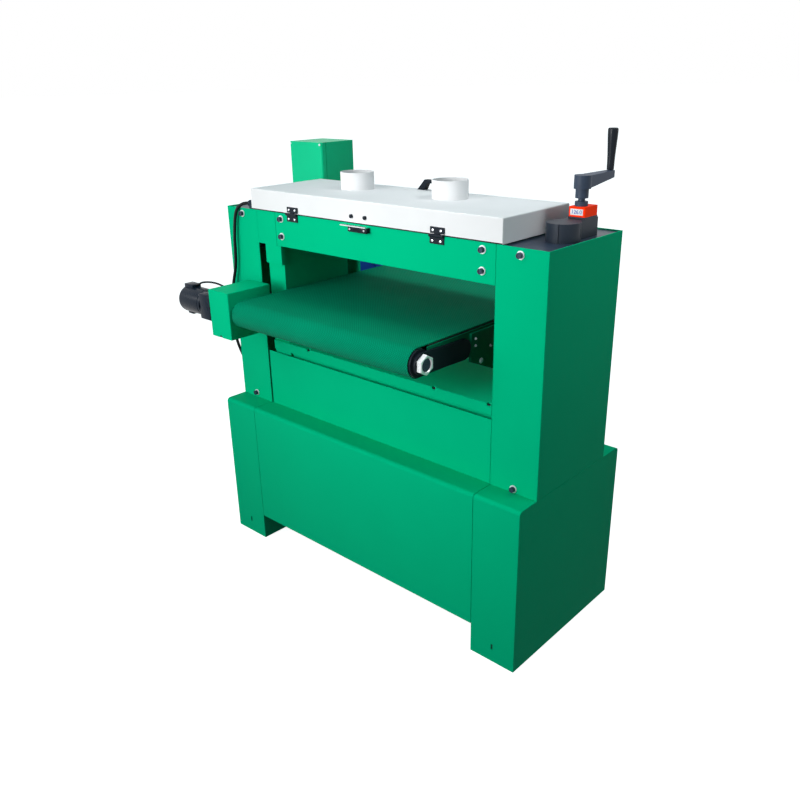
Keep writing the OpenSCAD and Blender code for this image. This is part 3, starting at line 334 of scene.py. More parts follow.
def face_width(face):
    return 2 * face.calc_area() / max(sum(e.calc_length() for e in face.edges), 1e-9)


def bends(bm, radius):
    """Outer edges between two broad faces, which a press would round."""
    chosen = []
    for edge in bm.edges:
        if len(edge.link_faces) != 2 or not edge.is_convex or edge.calc_face_angle(0) < SHARP:
            continue
        if min(face_width(f) for f in edge.link_faces) > BROAD * radius:
            chosen.append(edge)
    return chosen


def soften(node, radius, body="frame", material=None):
    """Stands for a solid with its sharp outer edges rounded."""
    bm = welded(node)
    bmesh.ops.dissolve_limit(bm, angle_limit=FLAT, verts=bm.verts, edges=bm.edges)
    bmesh.ops.bevel(bm, geom=bends(bm, radius), offset=radius, segments=BEND_STEPS, profile=0.5,
                    affect="EDGES", clamp_overlap=True)
    mesh = bpy.data.meshes.new(node + "_rounded")
    bm.to_mesh(mesh)
    bm.free()
    mesh.shade_smooth()
    mesh.set_sharp_from_angle(angle=SMOOTH_BEND)
    slot = next(e["material_slot"] for e in frame["record"]["subparts"] if e["node"] == node)
    obj = piece(node + "_rounded", mesh, body, slot, material)
    flat = obj.modifiers.new("flat faces", "WEIGHTED_NORMAL")
    flat.keep_sharp = True
    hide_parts(node)
    return obj


SHEET_R = 2.6 * MM
SEAM_R = 1.2 * MM
SMALL_R = 1.5 * MM
for sheet in ("rear_beam", "belt_guard"):
    soften(sheet, SHEET_R)
for sheet in ("left_leg", "right_leg", "front_panel", "rear_panel", "left_column", "right_column", "apron",
              "front_beam", "left_upright"):
    soften(sheet, SEAM_R)
# The control box has a coarser, shinier coat, and its green is painted a quarter brighter as a painted
# highlight of the glare on it
for casing in ("control_box", "control_cover"):
    soften(casing, SHEET_R, material=CAST_PAINTED_HIGHLIGHT)
# The deck's top is painted a paler green than its front: painted light, a lit copy of the green on the faces
# that look up
FACING_UP = 0.9
deck = soften("deck", SEAM_R).data
deck.materials.append(DECK_TOP_PAINTED_LIGHT)
for face in deck.polygons:
    face.material_index = int(face.normal.z > FACING_UP)
soften("drive_box", SHEET_R, "table")
soften("lid", SHEET_R, "cover_lid")
soften("indicator", SMALL_R)
soften("gear_cover", SMALL_R, material=COVER_BLACK)
soften("crank", SMALL_R, "crank_arm", CRANK_MATT)
soften("take_up", 2 * SMALL_R, "table", BLACK_TRIM)
soften("lid_trim", SMALL_R, "cover_lid", BLACK_TRIM)


# Solids that stay as they are, with a finish of their own
def dress(material, *nodes):
    for node in nodes:
        frame["nodes"][node].data.materials[0] = material


dress(BLACK_TRIM, "hinge_leaves")
# The lift bracket and the side rail get the green with painted shade
dress(GREEN_PAINTED_SHADE, "right_lift", "side_rail")
# The washers get the pale finish with painted glints
dress(PLATED_PAINTED_GLINT, "washers")


def loose_boxes(node):
    """Corners of the box round each separate solid of a node."""
    bm = welded(node)
    seen, boxes = set(), []
    for first in bm.verts:
        if first in seen:
            continue
        seen.add(first)
        group, queue = [], [first]
        while queue:
            vert = queue.pop()
            group.append(vert.co.copy())
            for edge in vert.link_edges:
                other = edge.other_vert(vert)
                if other not in seen:
                    seen.add(other)
                    queue.append(other)
        boxes.append((Vector(map(min, zip(*group))), Vector(map(max, zip(*group)))))
    bm.free()
    return boxes


# Builders that add a shape to a mesh in the making
def add_box(bm, corner_a, corner_b, radius=0.0):
    a, b = Vector(corner_a), Vector(corner_b)
    made = bmesh.ops.create_cube(bm, size=1, matrix=Matrix.Translation((a + b) / 2)
                                 @ Matrix.Diagonal((*(b - a), 1)))
    if radius:
        edges = list(dict.fromkeys(e for v in made["verts"] for e in v.link_edges))
        bmesh.ops.bevel(bm, geom=edges, offset=radius, segments=2, profile=0.5, affect="EDGES")


def add_lathe(bm, profile, at, axis, segments=40):
    """Turns (radius, height) points about an axis. The first and last radius are 0 on a closed piece."""
    turn = Vector((0, 0, 1)).rotation_difference(Vector(axis)).to_matrix()
    rings = []
    for radius, height in profile:
        count = segments if radius > 1e-7 else 1
        ring = []
        for k in range(count):
            angle = 2 * math.pi * k / segments
            place = Vector((radius * math.cos(angle), radius * math.sin(angle), height))
            ring.append(bm.verts.new(Vector(at) + turn @ place))
        rings.append(ring)
    for a, b in zip(rings, rings[1:]):
        for k in range(segments):
            corners = [a[k % len(a)], a[(k + 1) % len(a)], b[(k + 1) % len(b)], b[k % len(b)]]
            unique = list(dict.fromkeys(corners))
            if len(unique) > 2:
                bm.faces.new(unique)


def mm_profile(*points):
    return [(r * MM, h * MM) for r, h in points]


def build(name, bm, body, slot, replaces=(), material=None, smooth=35):
    bmesh.ops.recalc_face_normals(bm, faces=bm.faces)
    mesh = bpy.data.meshes.new(name)
    bm.to_mesh(mesh)
    bm.free()
    mesh.shade_smooth()
    mesh.set_sharp_from_angle(angle=math.radians(smooth))
    obj = piece(name, mesh, body, slot, material)
    if replaces:
        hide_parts(*replaces)
    return obj


X, Y, Z = Vector((1, 0, 0)), Vector((0, 1, 0)), Vector((0, 0, 1))
FRONT, BACK = -Y, Y


def add_screw(bm, at, axis, radius):
    """A low domed screw head with a round recess."""
    share = ((0, 0), (1, 0), (1, 0.3), (0.8, 0.62), (0.45, 0.72), (0.4, 0.3), (0, 0.25))
    add_lathe(bm, [(r * radius, h * radius) for r, h in share], at, axis, 20)


# Conveyor belt with its fine grip pattern, wound round both rollers
BELT_T = 2.5 * MM
BELT_PITCH = 7 * MM
# Belt tones: darker in the hollows and lighter on the crests of the nubs, as painted shade and painted
# highlight
BELT_HOLLOW_SHADE = (0.0, 0.16, 0.078)
BELT_CREST_HIGHLIGHT = (0.0, 0.27, 0.14)
BELT_ROUGH = (0.9, 0.75)
BELT_GLOSS = 0.1
BELT_PATCH = 5
BELT_WEAR = (0.9, 0.9, 0.9)
NUB_HEIGHT = 0.5 * MM
ARC_STEPS = 28


def belt_material():
    material, tree, shader = node_material("belt_top")
    place = split_place(tree, "UV")
    nubs = combine(tree, "MULTIPLY", ripple(tree, place["X"], BELT_PITCH), ripple(tree, place["Y"], BELT_PITCH))
    height = rescale(tree, nubs, span=(-1, 1))
    # Colour follows the nubs' height: painted shade in the hollows, painted highlight on the crests
    tone = ramp(tree, height, BELT_HOLLOW_SHADE, BELT_CREST_HIGHLIGHT, 0.2, 0.8)
    patches = ramp(tree, noise(tree, BELT_PATCH), BELT_WEAR, (1, 1, 1))
    mixed = tree.nodes.new("ShaderNodeMix")
    mixed.data_type = "RGBA"
    mixed.blend_type = "MULTIPLY"
    mixed.inputs["Factor"].default_value = 1
    tree.links.new(tone, mixed.inputs["A"])
    tree.links.new(patches, mixed.inputs["B"])
    tree.links.new(mixed.outputs["Result"], shader.inputs["Base Color"])
    tree.links.new(rescale(tree, height, into=BELT_ROUGH), shader.inputs["Roughness"])
    shader.inputs["Specular IOR Level"].default_value = BELT_GLOSS
    shader.inputs["Specular Tint"].default_value = (*GREEN_SHEEN, 1)
    bump(tree, shader, height, NUB_HEIGHT, 0.5)
    return material


def loop_points(y0, y1, z, radius):
    """Places round a loop over two equal rollers."""
    turn = [math.pi * k / ARC_STEPS for k in range(1, ARC_STEPS)]
    return ([(y0, z + radius), (y1, z + radius)]
            + [(y1 + radius * math.sin(a), z + radius * math.cos(a)) for a in turn]
            + [(y1, z - radius), (y0, z - radius)]
            + [(y0 - radius * math.sin(a), z - radius * math.cos(a)) for a in turn])


def make_belt():
    lo, hi = low("feed_belt"), high("feed_belt")
    radius = (hi.z - lo.z) / 2
    centre_z = (hi.z + lo.z) / 2
    y0, y1 = lo.y + radius, hi.y - radius
    outer = loop_points(y0, y1, centre_z, radius)
    inner = loop_points(y0, y1, centre_z, radius - BELT_T)
    bm = bmesh.new()
    uv = bm.loops.layers.uv.new("way")
    rows = [[bm.verts.new((x, *p)) for x, p in ((lo.x, a), (hi.x, a), (hi.x, b), (lo.x, b))]
            for a, b in zip(outer, inner)]
    way = 0.0
    for i in range(len(rows)):
        n = (i + 1) % len(rows)
        step = math.dist(outer[i], outer[n])
        for k in range(4):
            corners = (rows[i][k], rows[i][(k + 1) % 4], rows[n][(k + 1) % 4], rows[n][k])
            face = bm.faces.new(corners)
            for loop, along in zip(face.loops, (way, way, way + step, way + step)):
                loop[uv].uv = (loop.vert.co.x, along)
        way += step
    build("conveyor_belt", bm, "table", "belt_rubber", ["feed_belt"], belt_material(), 50)


make_belt()


# Feed motor with its gearhead, terminal block and foot
MOTOR_R = 42 * MM
MOTOR_CORE = 36 * MM
MOTOR_BLOCK = 8 * MM
BLOCK_IN = 5 * MM
BLOCK_LEN = 44 * MM
BLOCK_HALF = 16 * MM
FOOT_LEN = 28 * MM
FOOT_HALF = 13 * MM
GEAR_LEN = 54 * MM
GEAR_HALF = 40 * MM
GEAR_SCREW = 33 * MM


def motor_face():
    """Where the motor's axis meets the gearhead."""
    return Vector((high("feed_motor").x - GEAR_LEN, mid("drive_roller").y,
                   high("feed_motor").z - MOTOR_BLOCK - MOTOR_R))


def make_feed_motor():
    face = motor_face()
    lo, hi = low("feed_motor"), high("feed_motor")
    bm = bmesh.new()
    half = Vector((0, GEAR_HALF, GEAR_HALF))
    add_box(bm, face - half, Vector((hi.x, face.y, face.z)) + half, 4 * MM)
    length = (face.x - lo.x) / MM
    add_lathe(bm, mm_profile((0, 0), (41.2, 0), (42, 1), (42, 9), (41, 10), (41, 12), (42, 13),
                             (42, length - 8), (41.4, length - 5), (39.8, length - 2), (37, length),
                             (16, length), (15, length - 2), (0, length - 2)), face, -X, 64)
    start = lo.x + BLOCK_IN
    add_box(bm, (start, face.y - BLOCK_HALF, face.z + MOTOR_CORE),
            (start + BLOCK_LEN, face.y + BLOCK_HALF, hi.z), 2 * MM)
    add_box(bm, (start, face.y - FOOT_HALF, lo.z),
            (start + FOOT_LEN, face.y + FOOT_HALF, face.z - MOTOR_CORE), 2 * MM)
    build("feed_motor_body", bm, "table", "black_paint", ["feed_motor"], MOTOR_GLOSS)
    bm = bmesh.new()
    for dy in (-1, 1):
        for dz in (-1, 1):
            add_screw(bm, face + Vector((0, dy, dz)) * GEAR_SCREW, -X, 4.5 * MM)
    build("feed_motor_screws", bm, "table", "zinc")


make_feed_motor()


# Main motor behind the left column, with its cooling fins and terminal box
FINS = 36
FIN_T = 2.4 * MM
FIN_DEEP = 9 * MM
FIN_MID = 66.5 * MM
FIN_ENDS = 44 * MM
FIN_BACK = 9 * MM
TERMINAL_X = (27 * MM, 85 * MM)
TERMINAL_HALF = 29 * MM
TERMINAL_FOOT = 60 * MM
COVER_T = 8 * MM
COVER_LIP = 1 * MM
COVER_SCREW = 5 * MM


def make_main_motor():
    axle = mid("motor_rotor")
    lo, hi = low("main_motor"), high("main_motor")
    foot = Vector((lo.x, axle.y, axle.z))
    reach = hi.x - lo.x
    length = reach / MM
    bm = bmesh.new()
    add_lathe(bm, mm_profile((0, 0), (71.5, 0), (71.5, 9), (63, 12), (63, length - 30), (71.5, length - 29),
                             (72, length - 26), (71, length - 6), (64, length), (22, length),
                             (20, length - 3), (0, length - 3)), foot, X, 72)
    fin = (Matrix.Translation((0, 0, FIN_MID)) @ Matrix.Diagonal((reach - FIN_ENDS, FIN_T, FIN_DEEP, 1)))
    for k in range(FINS):
        spin = Matrix.Rotation(2 * math.pi * k / FINS, 4, "X")
        bmesh.ops.create_cube(bm, size=1, matrix=Matrix.Translation(foot + X * (reach / 2 - FIN_BACK))
                              @ spin @ fin)
    build("main_motor_body", bm, "frame", "blue_paint", ["main_motor"])
    bm = bmesh.new()
    left, right = (lo.x + place for place in TERMINAL_X)
    lid_z, wide = hi.z - COVER_T, TERMINAL_HALF + COVER_LIP
    add_box(bm, (left, axle.y - TERMINAL_HALF, axle.z + TERMINAL_FOOT),
            (right, axle.y + TERMINAL_HALF, lid_z), 3 * MM)
    add_box(bm, (left - COVER_LIP, axle.y - wide, lid_z), (right + COVER_LIP, axle.y + wide, hi.z), 2 * MM)
    build("main_motor_terminals", bm, "frame", "blue_paint")
    bm = bmesh.new()
    for place_x in (left + COVER_SCREW, right - COVER_SCREW):
        for side in (COVER_SCREW - TERMINAL_HALF, TERMINAL_HALF - COVER_SCREW):
            add_screw(bm, (place_x, axle.y + side, hi.z - 1 * MM), Z, 3 * MM)
    build("main_motor_screws", bm, "frame", "zinc")


make_main_motor()


# Lead from the feed motor's terminal block to the drive box: share of the way, back, up from the motor's top
LEAD_R = 3 * MM
LEAD_STEPS = 8
LEAD_ROUTE = [(-0.01, 0, 4), (0.08, 2, 9), (0.21, 6, 16), (0.44, 12, 20), (0.66, 19, 19), (0.85, 26, 13),
              (1, 30, 6)]


def make_lead():
    face = motor_face()
    start = low("feed_motor").x + BLOCK_IN + BLOCK_LEN
    span = high("feed_motor").x - start
    route = smooth_route([Vector((start + share * span, face.y + back * MM, face.z + MOTOR_R + up * MM))
                          for share, back, up in LEAD_ROUTE], LEAD_STEPS)
    lead = piece("motor_lead_run", tube_along("motor_lead_run", route, LEAD_R), "table", "black_rubber")
    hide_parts("motor_lead")


make_lead()


# Hinge screws, two on each leaf
HINGE_HALF = 23 * MM
HINGE_PIN = 4 * MM
HINGE_SCREW = 13 * MM
HINGE_SCREW_R = 3.8 * MM


def make_hinge_screws():
    lo, hi = low("hinge_leaves"), high("hinge_leaves")
    hinge_z = hi.z - HINGE_PIN
    on_frame, on_lid = bmesh.new(), bmesh.new()
    for hinge_x in (lo.x + HINGE_HALF, hi.x - HINGE_HALF):
        for place_x in (hinge_x - HINGE_SCREW, hinge_x + HINGE_SCREW):
            add_screw(on_frame, (place_x, COLUMN_Y - 3 * MM, hinge_z - HINGE_SCREW), FRONT, HINGE_SCREW_R)
            add_screw(on_lid, (place_x, COLUMN_Y - 1 * MM, hinge_z + HINGE_SCREW), FRONT, HINGE_SCREW_R)
    build("hinge_screws_low", on_frame, "frame", "zinc")
    build("hinge_screws_high", on_lid, "cover_lid", "zinc")


make_hinge_screws()


# Safety switch under the lid's front edge, with a screw at each end and a ribbed middle
RIBS = 7
RIB_FROM = 22 * MM
RIB_PITCH = 4 * MM
RIB_W = 1.6 * MM
RIB_OUT = 0.8 * MM
RIB_INSET = 4 * MM
SWITCH_SCREW = 9 * MM


def make_interlock():
    lo, hi = low("interlock"), high("interlock")
    bm = bmesh.new()
    add_box(bm, lo, hi, 2 * MM)
    for k in range(RIBS):
        rib_x = lo.x + RIB_FROM + k * RIB_PITCH
        add_box(bm, (rib_x, lo.y - RIB_OUT, lo.z + RIB_INSET),
                (rib_x + RIB_W, lo.y + 1 * MM, hi.z - RIB_INSET))
    build("interlock_body", bm, "frame", "black_plastic", ["interlock"], BLACK_TRIM)
    bm = bmesh.new()
    for place_x in (lo.x + SWITCH_SCREW, hi.x - SWITCH_SCREW):
        add_screw(bm, (place_x, lo.y, (lo.z + hi.z) / 2), FRONT, 3 * MM)
    build("interlock_screws", bm, "frame", "steel")


make_interlock()


# Hexagon nut on the conveyor's front roller, and the roller's dark end inside it
NUT_BORE = 18 * MM
NUT_THREAD = 0.8 * MM
NUT_TURNS = 9
NUT_CHAMFER = 0.93
NUT_BEVEL = 3 * MM
HOLE_STEPS = 36


def make_roller_end():
    axle = mid("drive_roller")
    end = Vector((high("drive_roller").x, axle.y, axle.z))
    bm = bmesh.new()
    add_lathe(bm, mm_profile((0, 0), (16, 0), (16, 1), (14.5, 2), (12, 2), (11, 1.2), (5, 1.2), (4, 0.4),
                             (0, 0.4)), end, X)
    build("roller_end", bm, "drive_roll", "black_paint")


make_roller_end()


def make_nut():
    lo, hi = low("take_up_nut"), high("take_up_nut")
    axle = mid("drive_roller")
    radius = max(hi.y - lo.y, hi.z - lo.z) / 2
    mouth = NUT_BORE + NUT_THREAD
    bm = bmesh.new()

    def ring_at(x, around, steps):
        turns = (2 * math.pi * k / steps for k in range(steps))
        return [bm.verts.new((x, axle.y + around * math.sin(a), axle.z + around * math.cos(a))) for a in turns]

    rings = [ring_at(x, radius * share, 6) for x, share in (
        (lo.x, NUT_CHAMFER), (lo.x + NUT_BEVEL, 1), (hi.x - NUT_BEVEL, 1), (hi.x, NUT_CHAMFER))]
    for a, b in zip(rings, rings[1:]):
        for k in range(6):
            bm.faces.new((a[k], a[(k + 1) % 6], b[(k + 1) % 6], b[k]))
    for ring in (rings[0], rings[-1]):
        hole = ring_at(ring[0].co.x, mouth, HOLE_STEPS)
        for k in range(6):
            after = ring[(k + 1) % 6]
            bm.faces.new([ring[k]] + hole[6 * k:6 * k + 4])
            bm.faces.new([ring[k], hole[6 * k + 3], after])
            bm.faces.new([after] + [hole[(6 * k + n) % HOLE_STEPS] for n in (3, 4, 5, 6)])
    pitch = (hi.x - lo.x) / NUT_TURNS
    profile = [(mouth, 0)]
    for k in range(NUT_TURNS):
        profile += [(NUT_BORE, (k + 0.5) * pitch), (mouth, (k + 1) * pitch)]
    add_lathe(bm, profile, (lo.x, axle.y, axle.z), X, HOLE_STEPS)
    bmesh.ops.remove_doubles(bm, verts=bm.verts, dist=1e-6)
    build("take_up_nut_hex", bm, "table", "zinc", ["take_up_nut"], NUT_PLATE, 25)


make_nut()


# Counter on the crank's spindle: a white window with plain figures
WINDOW_LEFT = 5 * MM
WINDOW_RIGHT = 6 * MM
WINDOW_FOOT = 4 * MM
WINDOW_TOP = 5 * MM
WINDOW_OUT = 0.6 * MM
FIGURE_SIZE = 13 * MM
FIGURE_T = 0.15 * MM
FIGURE_OUT = 0.7 * MM


def make_counter():
    lo, hi = low("indicator"), high("indicator")
    bm = bmesh.new()
    left, right = lo.x + WINDOW_LEFT, hi.x - WINDOW_RIGHT
    base, top = lo.z + WINDOW_FOOT, hi.z - WINDOW_TOP
    add_box(bm, (left, lo.y - WINDOW_OUT, base), (right, lo.y + 1 * MM, top), 0.5 * MM)
    build("counter_window", bm, "frame", "white_paint")
    text = bpy.data.curves.new("counter_figures", "FONT")
    text.body = "126.0"
    text.size = FIGURE_SIZE
    text.extrude = FIGURE_T
    text.align_x = "CENTER"
    text.align_y = "CENTER"
    holder = bpy.data.objects.new("counter_text", text)
    mesh = bpy.data.meshes.new_from_object(holder)
    bpy.data.objects.remove(holder)
    mesh.transform(Matrix.Translation(((left + right) / 2, lo.y - FIGURE_OUT, (base + top) / 2))
                   @ Matrix.Rotation(math.pi / 2, 4, "X"))
    piece("counter_figures", mesh, "frame", "blue_paint")


make_counter()


# Controls on the control box: bezels, buttons, mushroom head and knob
def make_buttons():
    wall = high("control_box").y
    for name, body, slot in (("start_button", "start", "green_plastic"),
                             ("stop_button", "stop", "red_plastic")):
        place = mid(name)
        face = Vector((place.x, wall, place.z))
        reach = (high(name).y - wall) / MM
        bm = bmesh.new()
        add_lathe(bm, mm_profile((0, -8), (11, -8), (11, reach - 1.5), (9.6, reach), (6, reach - 0.6),
                                 (0, reach - 0.8)), face, BACK)
        build(name + "_cap", bm, body, slot, [name])
        bm = bmesh.new()
        add_lathe(bm, mm_profile((11.45, 0), (15, 0), (14.6, 2), (13, 3.2), (11.45, 3), (11.45, 0)),
                  face, BACK)
        build(name + "_bezel", bm, "frame", "zinc")


def make_estop():
    place = mid("estop_button")
    face = Vector((place.x, high("control_box").y, place.z))
    bm = bmesh.new()
    add_lathe(bm, mm_profile((0, -8), (8, -8), (8, 8), (19, 8.4), (20, 10.5), (19.6, 14), (16.5, 18),
                             (9, 19.7), (0, 20)), face, BACK, 48)
    build("estop_mushroom", bm, "estop", "red_plastic", ["estop_button"])
    bm = bmesh.new()
    add_lathe(bm, mm_profile((8.5, 0), (22, 0), (21.5, 1.6), (12, 2.6), (8.5, 2.4), (8.5, 0)),
              face, BACK, 48)
    build("estop_bezel", bm, "frame", "black_plastic")


KNOB_TICKS = 11
KNOB_SWEEP = math.radians(270)
TICK_AT = Vector((0, 0.15, 20)) * MM
TICK_SIZE = Vector((1, 0.3, 4)) * MM


def make_knob():
    place = mid("speed_knob")
    face = Vector((place.x, high("control_box").y, place.z))
    bm = bmesh.new()
    add_lathe(bm, mm_profile((0, -8), (4, -8), (4, 0.4), (16, 0.4), (16, 4), (13.5, 5.5), (12.6, 15),
                             (11, 16.4), (0, 16.1)), face, BACK, 48)
    build("knob_turned", bm, "speed", "black_plastic", ["speed_knob"])
    bm = bmesh.new()
    add_box(bm, face + Vector((-0.7, 15.8, 3)) * MM, face + Vector((0.7, 16.4, 11)) * MM, 0.2 * MM)
    build("knob_pointer", bm, "speed", "white_paint")
    bm = bmesh.new()
    for k in range(KNOB_TICKS):
        angle = KNOB_SWEEP * (k / (KNOB_TICKS - 1) - 0.5)
        spin = Matrix.Translation(face) @ Matrix.Rotation(angle, 4, "Y")
        bmesh.ops.create_cube(bm, size=1, matrix=spin @ Matrix.Translation(TICK_AT)
                              @ Matrix.Diagonal((*TICK_SIZE, 1)))
    build("knob_scale", bm, "frame", "white_paint")


make_buttons()
make_estop()
make_knob()


# Turned grip of the crank, hollow for its pin
def make_grip():
    place = mid("crank_grip")
    foot = Vector((place.x, place.y, low("crank_grip").z))
    bm = bmesh.new()
    add_lathe(bm, mm_profile((5.05, 0), (8.4, 0), (9, 0.8), (9.2, 8), (9.4, 20), (10, 36), (11, 54), (12, 70),
                             (12.8, 84), (13, 93), (12.8, 97), (11.6, 99.4), (10.4, 100), (0, 100), (0, 65),
                             (5.05, 65), (5.05, 0)), foot, Z, 48)
    bmesh.ops.remove_doubles(bm, verts=bm.verts, dist=1e-6)
    build("grip_turned", bm, "grip", "black_plastic", ["crank_grip"], GRIP_GLOSS)


make_grip()


# Fasteners: dark sockets in the screw heads, and hexagon heads on the right bracket with painted glints in
# their pale finish
SOCKET_R = 4.8
SOCKET_T = 3.6
SOCKET_IN = 4.8 * MM


def make_fasteners():
    bm = bmesh.new()
    for lo, hi in loose_boxes("bolts"):
        add_lathe(bm, mm_profile((0, 0), (SOCKET_R, 0), (SOCKET_R, SOCKET_T), (0, SOCKET_T)),
                  ((lo.x + hi.x) / 2, lo.y + SOCKET_IN, (lo.z + hi.z) / 2), FRONT, 6)
    build("bolt_sockets", bm, "frame", "black_paint")
    bm = bmesh.new()
    for lo, hi in loose_boxes("rail_bolts"):
        radius, height = (hi.y - lo.y) / 2, hi.x - lo.x
        at = (lo.x, (lo.y + hi.y) / 2, (lo.z + hi.z) / 2)
        washer_t, hex_r = 0.3 * height, 0.8 * radius
        add_lathe(bm, [(0, 0), (radius, 0), (radius, washer_t), (0, washer_t)], at, X, 32)
        add_lathe(bm, [(0, 0), (hex_r, 0), (hex_r, 0.85 * height), (0.65 * radius, height), (0, height)],
                  at, X, 6)
    build("rail_bolt_heads", bm, "table", "zinc", ["rail_bolts"], PLATED_PAINTED_GLINT, 20)


make_fasteners()


# Ribbed nut of the cable's upper gland
GLAND_RIBS = 4
GLAND_PITCH = 2.4


def make_gland():
    start = Vector((COLUMN_X, COLUMN_Y, TOP_Z)) + Vector(CABLE_ROUTE[0]) * MM
    bm = bmesh.new()
    profile = [(5.3, 1)]
    for k in range(GLAND_RIBS):
        profile += [(radius, up + GLAND_PITCH * k)
                    for radius, up in ((9.2, 1), (10.4, 1.6), (10.4, 2.6), (9.2, 3.2))]
    profile += [(5.3, 10.8), (5.3, 1)]
    add_lathe(bm, mm_profile(*profile), start, X, 32)
    bmesh.ops.remove_doubles(bm, verts=bm.verts, dist=1e-6)
    build("gland_nut", bm, "frame", "black_plastic")


make_gland()


# Threads on the lifting screws
THREAD_PITCH = 4 * MM
THREAD_DEEP = 1 * MM
# Thread tones: darker in the roots and lighter on the crests, as painted shade and painted highlight
THREAD_ROOT_SHADE = (0.1, 0.1, 0.11)
THREAD_CREST_HIGHLIGHT = (0.5, 0.51, 0.53)
THREAD_ROUGH = (0.25, 0.4)
THREAD_PATCH = 40


def thread_material():
    material, tree, shader = node_material("screw_thread")
    height = rescale(tree, ripple(tree, split_place(tree, "Object")["Z"], THREAD_PITCH), span=(-1, 1))
    # Colour follows the thread's height: painted shade in the roots, painted highlight on the crests
    tone = ramp(tree, height, THREAD_ROOT_SHADE, THREAD_CREST_HIGHLIGHT, 0.1, 0.8)
    tree.links.new(tone, shader.inputs["Base Color"])
    shader.inputs["Metallic"].default_value = 1
    tree.links.new(rescale(tree, noise(tree, THREAD_PATCH), into=THREAD_ROUGH), shader.inputs["Roughness"])
    bump(tree, shader, height, THREAD_DEEP)
    return material


dress(thread_material(), "right_screw", "left_screw")


# Roller chain round the feet of both screws
CHAIN_PITCH = 12.7 * MM
CHAIN_HALF = 2.6 * MM
LINK_OVER = 4 * MM
LINK_W = 4.6 * MM
LINK_T = 0.8 * MM
LINK_LIFTS = (2.5 * MM, 3.3 * MM)


def make_chain():
    lo, hi = low("lower_chain"), high("lower_chain")
    wheel_a = Vector((mid("left_screw").x, mid("left_screw").y, 0))
    wheel_b = Vector((mid("right_screw").x, mid("right_screw").y, 0))
    radius = wheel_a.x - lo.x - CHAIN_HALF
    along = (wheel_b - wheel_a).normalized()
    across = Vector((-along.y, along.x, 0))
    straight, arc = (wheel_b - wheel_a).length, math.pi * radius
    count = 2 * round((straight + arc) / CHAIN_PITCH)
    step = 2 * (straight + arc) / count

    def place(way):
        """Point and heading at a way along the loop."""
        if way < straight:
            return wheel_a - across * radius + along * way, along
        way -= straight
        if way < arc:
            angle = way / radius
            return (wheel_b - across * radius * math.cos(angle) + along * radius * math.sin(angle),
                    along * math.cos(angle) + across * math.sin(angle))
        way -= arc
        if way < straight:
            return wheel_b + across * radius - along * way, -along
        angle = (way - straight) / radius
        return (wheel_a + across * radius * math.cos(angle) - along * radius * math.sin(angle),
                -along * math.cos(angle) - across * math.sin(angle))

    bm = bmesh.new()
    middle = (lo.z + hi.z) / 2
    for k in range(count):
        at = place(k * step)[0]
        centre, heading = place((k + 0.5) * step)
        turn = (Matrix.Translation((centre.x, centre.y, middle))
                @ Matrix.Rotation(math.atan2(heading.y, heading.x), 4, "Z"))
        add_lathe(bm, mm_profile((0, -3.9), (1.6, -3.9), (1.6, -2), (2.4, -2), (2.4, 2), (1.6, 2), (1.6, 3.9),
                                 (0, 3.9)), (at.x, at.y, middle), Z, 8)
        lift = LINK_LIFTS[k % 2]
        for side in (-lift, lift):
            bmesh.ops.create_cube(bm, size=1, matrix=turn @ Matrix.Translation((0, 0, side))
                                  @ Matrix.Diagonal((step + LINK_OVER, LINK_W, LINK_T, 1)))
    build("chain_links", bm, "frame", "steel", ["lower_chain"])


make_chain()


# Dark strip along the lid's lower front edge, flat with a bead at its foot: painted shadow of the gap under the
# lid
SHADOW_LINE_SECTION = ((1, 0), (-0.2, 0), (-0.45, 0.35), (-0.45, 1), (-0.2, 1.35), (-0.15, 2.6), (0, 2.8), (1, 2.8))
SHADOW_LINE_SHORT = 1 * MM


def make_lid_shadow_line():
    lo, hi = low("lid"), high("lid")
    bm = bmesh.new()
    ends = [[bm.verts.new((place_x, lo.y + y * MM, lo.z + z * MM)) for y, z in SHADOW_LINE_SECTION]
            for place_x in (lo.x + SHADOW_LINE_SHORT, hi.x - SHADOW_LINE_SHORT)]
    for end in ends:
        bm.faces.new(end)
    for k in range(len(SHADOW_LINE_SECTION)):
        bm.faces.new((ends[0][k - 1], ends[0][k], ends[1][k], ends[1][k - 1]))
    build("lid_shadow_line", bm, "cover_lid", "black_rubber")


make_lid_shadow_line()


# Dark strips behind the seams of the base: painted shade for the dark inside that shows through the seams
BEHIND = 3.2 * MM
BACKING_HALF = 9 * MM
BACKING_T = 2 * MM
BACKING_R = 0.5 * MM
STRIP_BEND = 12 * MM


def make_seam_shade_strips():
    front, rear = low("left_leg").y + BEHIND, high("left_leg").y - BEHIND
    foot, top = low("front_panel").z + 1 * MM, high("left_leg").z - BEHIND
    bm = bmesh.new()
    for seam in (high("left_leg").x, low("right_leg").x):
        left, right = seam - BACKING_HALF, seam + BACKING_HALF
        for a, b in ((front, front + BACKING_T), (rear - BACKING_T, rear)):
            add_box(bm, (left, a, foot), (right, b, top - STRIP_BEND), BACKING_R)
        add_box(bm, (left, front + STRIP_BEND, top - BACKING_T), (right, rear - STRIP_BEND, top), BACKING_R)
    build("seam_shade_strips", bm, "frame", "black_paint", material=BLACK_TRIM)


make_seam_shade_strips()


# Dark plates behind the slots low in the legs: painted shade for the dark inside seen through the slots
SLOT_Z = (32 * MM, 64 * MM)


def make_slot_shade_plates():
    bm = bmesh.new()
    for leg in ("left_leg", "right_leg"):
        inner, middle = low(leg).y + BEHIND, mid(leg).x
        add_box(bm, (middle - BACKING_HALF, inner, SLOT_Z[0]),
                (middle + BACKING_HALF, inner + BACKING_T, SLOT_Z[1]), BACKING_R)
    build("slot_shade_plates", bm, "frame", "black_paint", material=BLACK_TRIM)


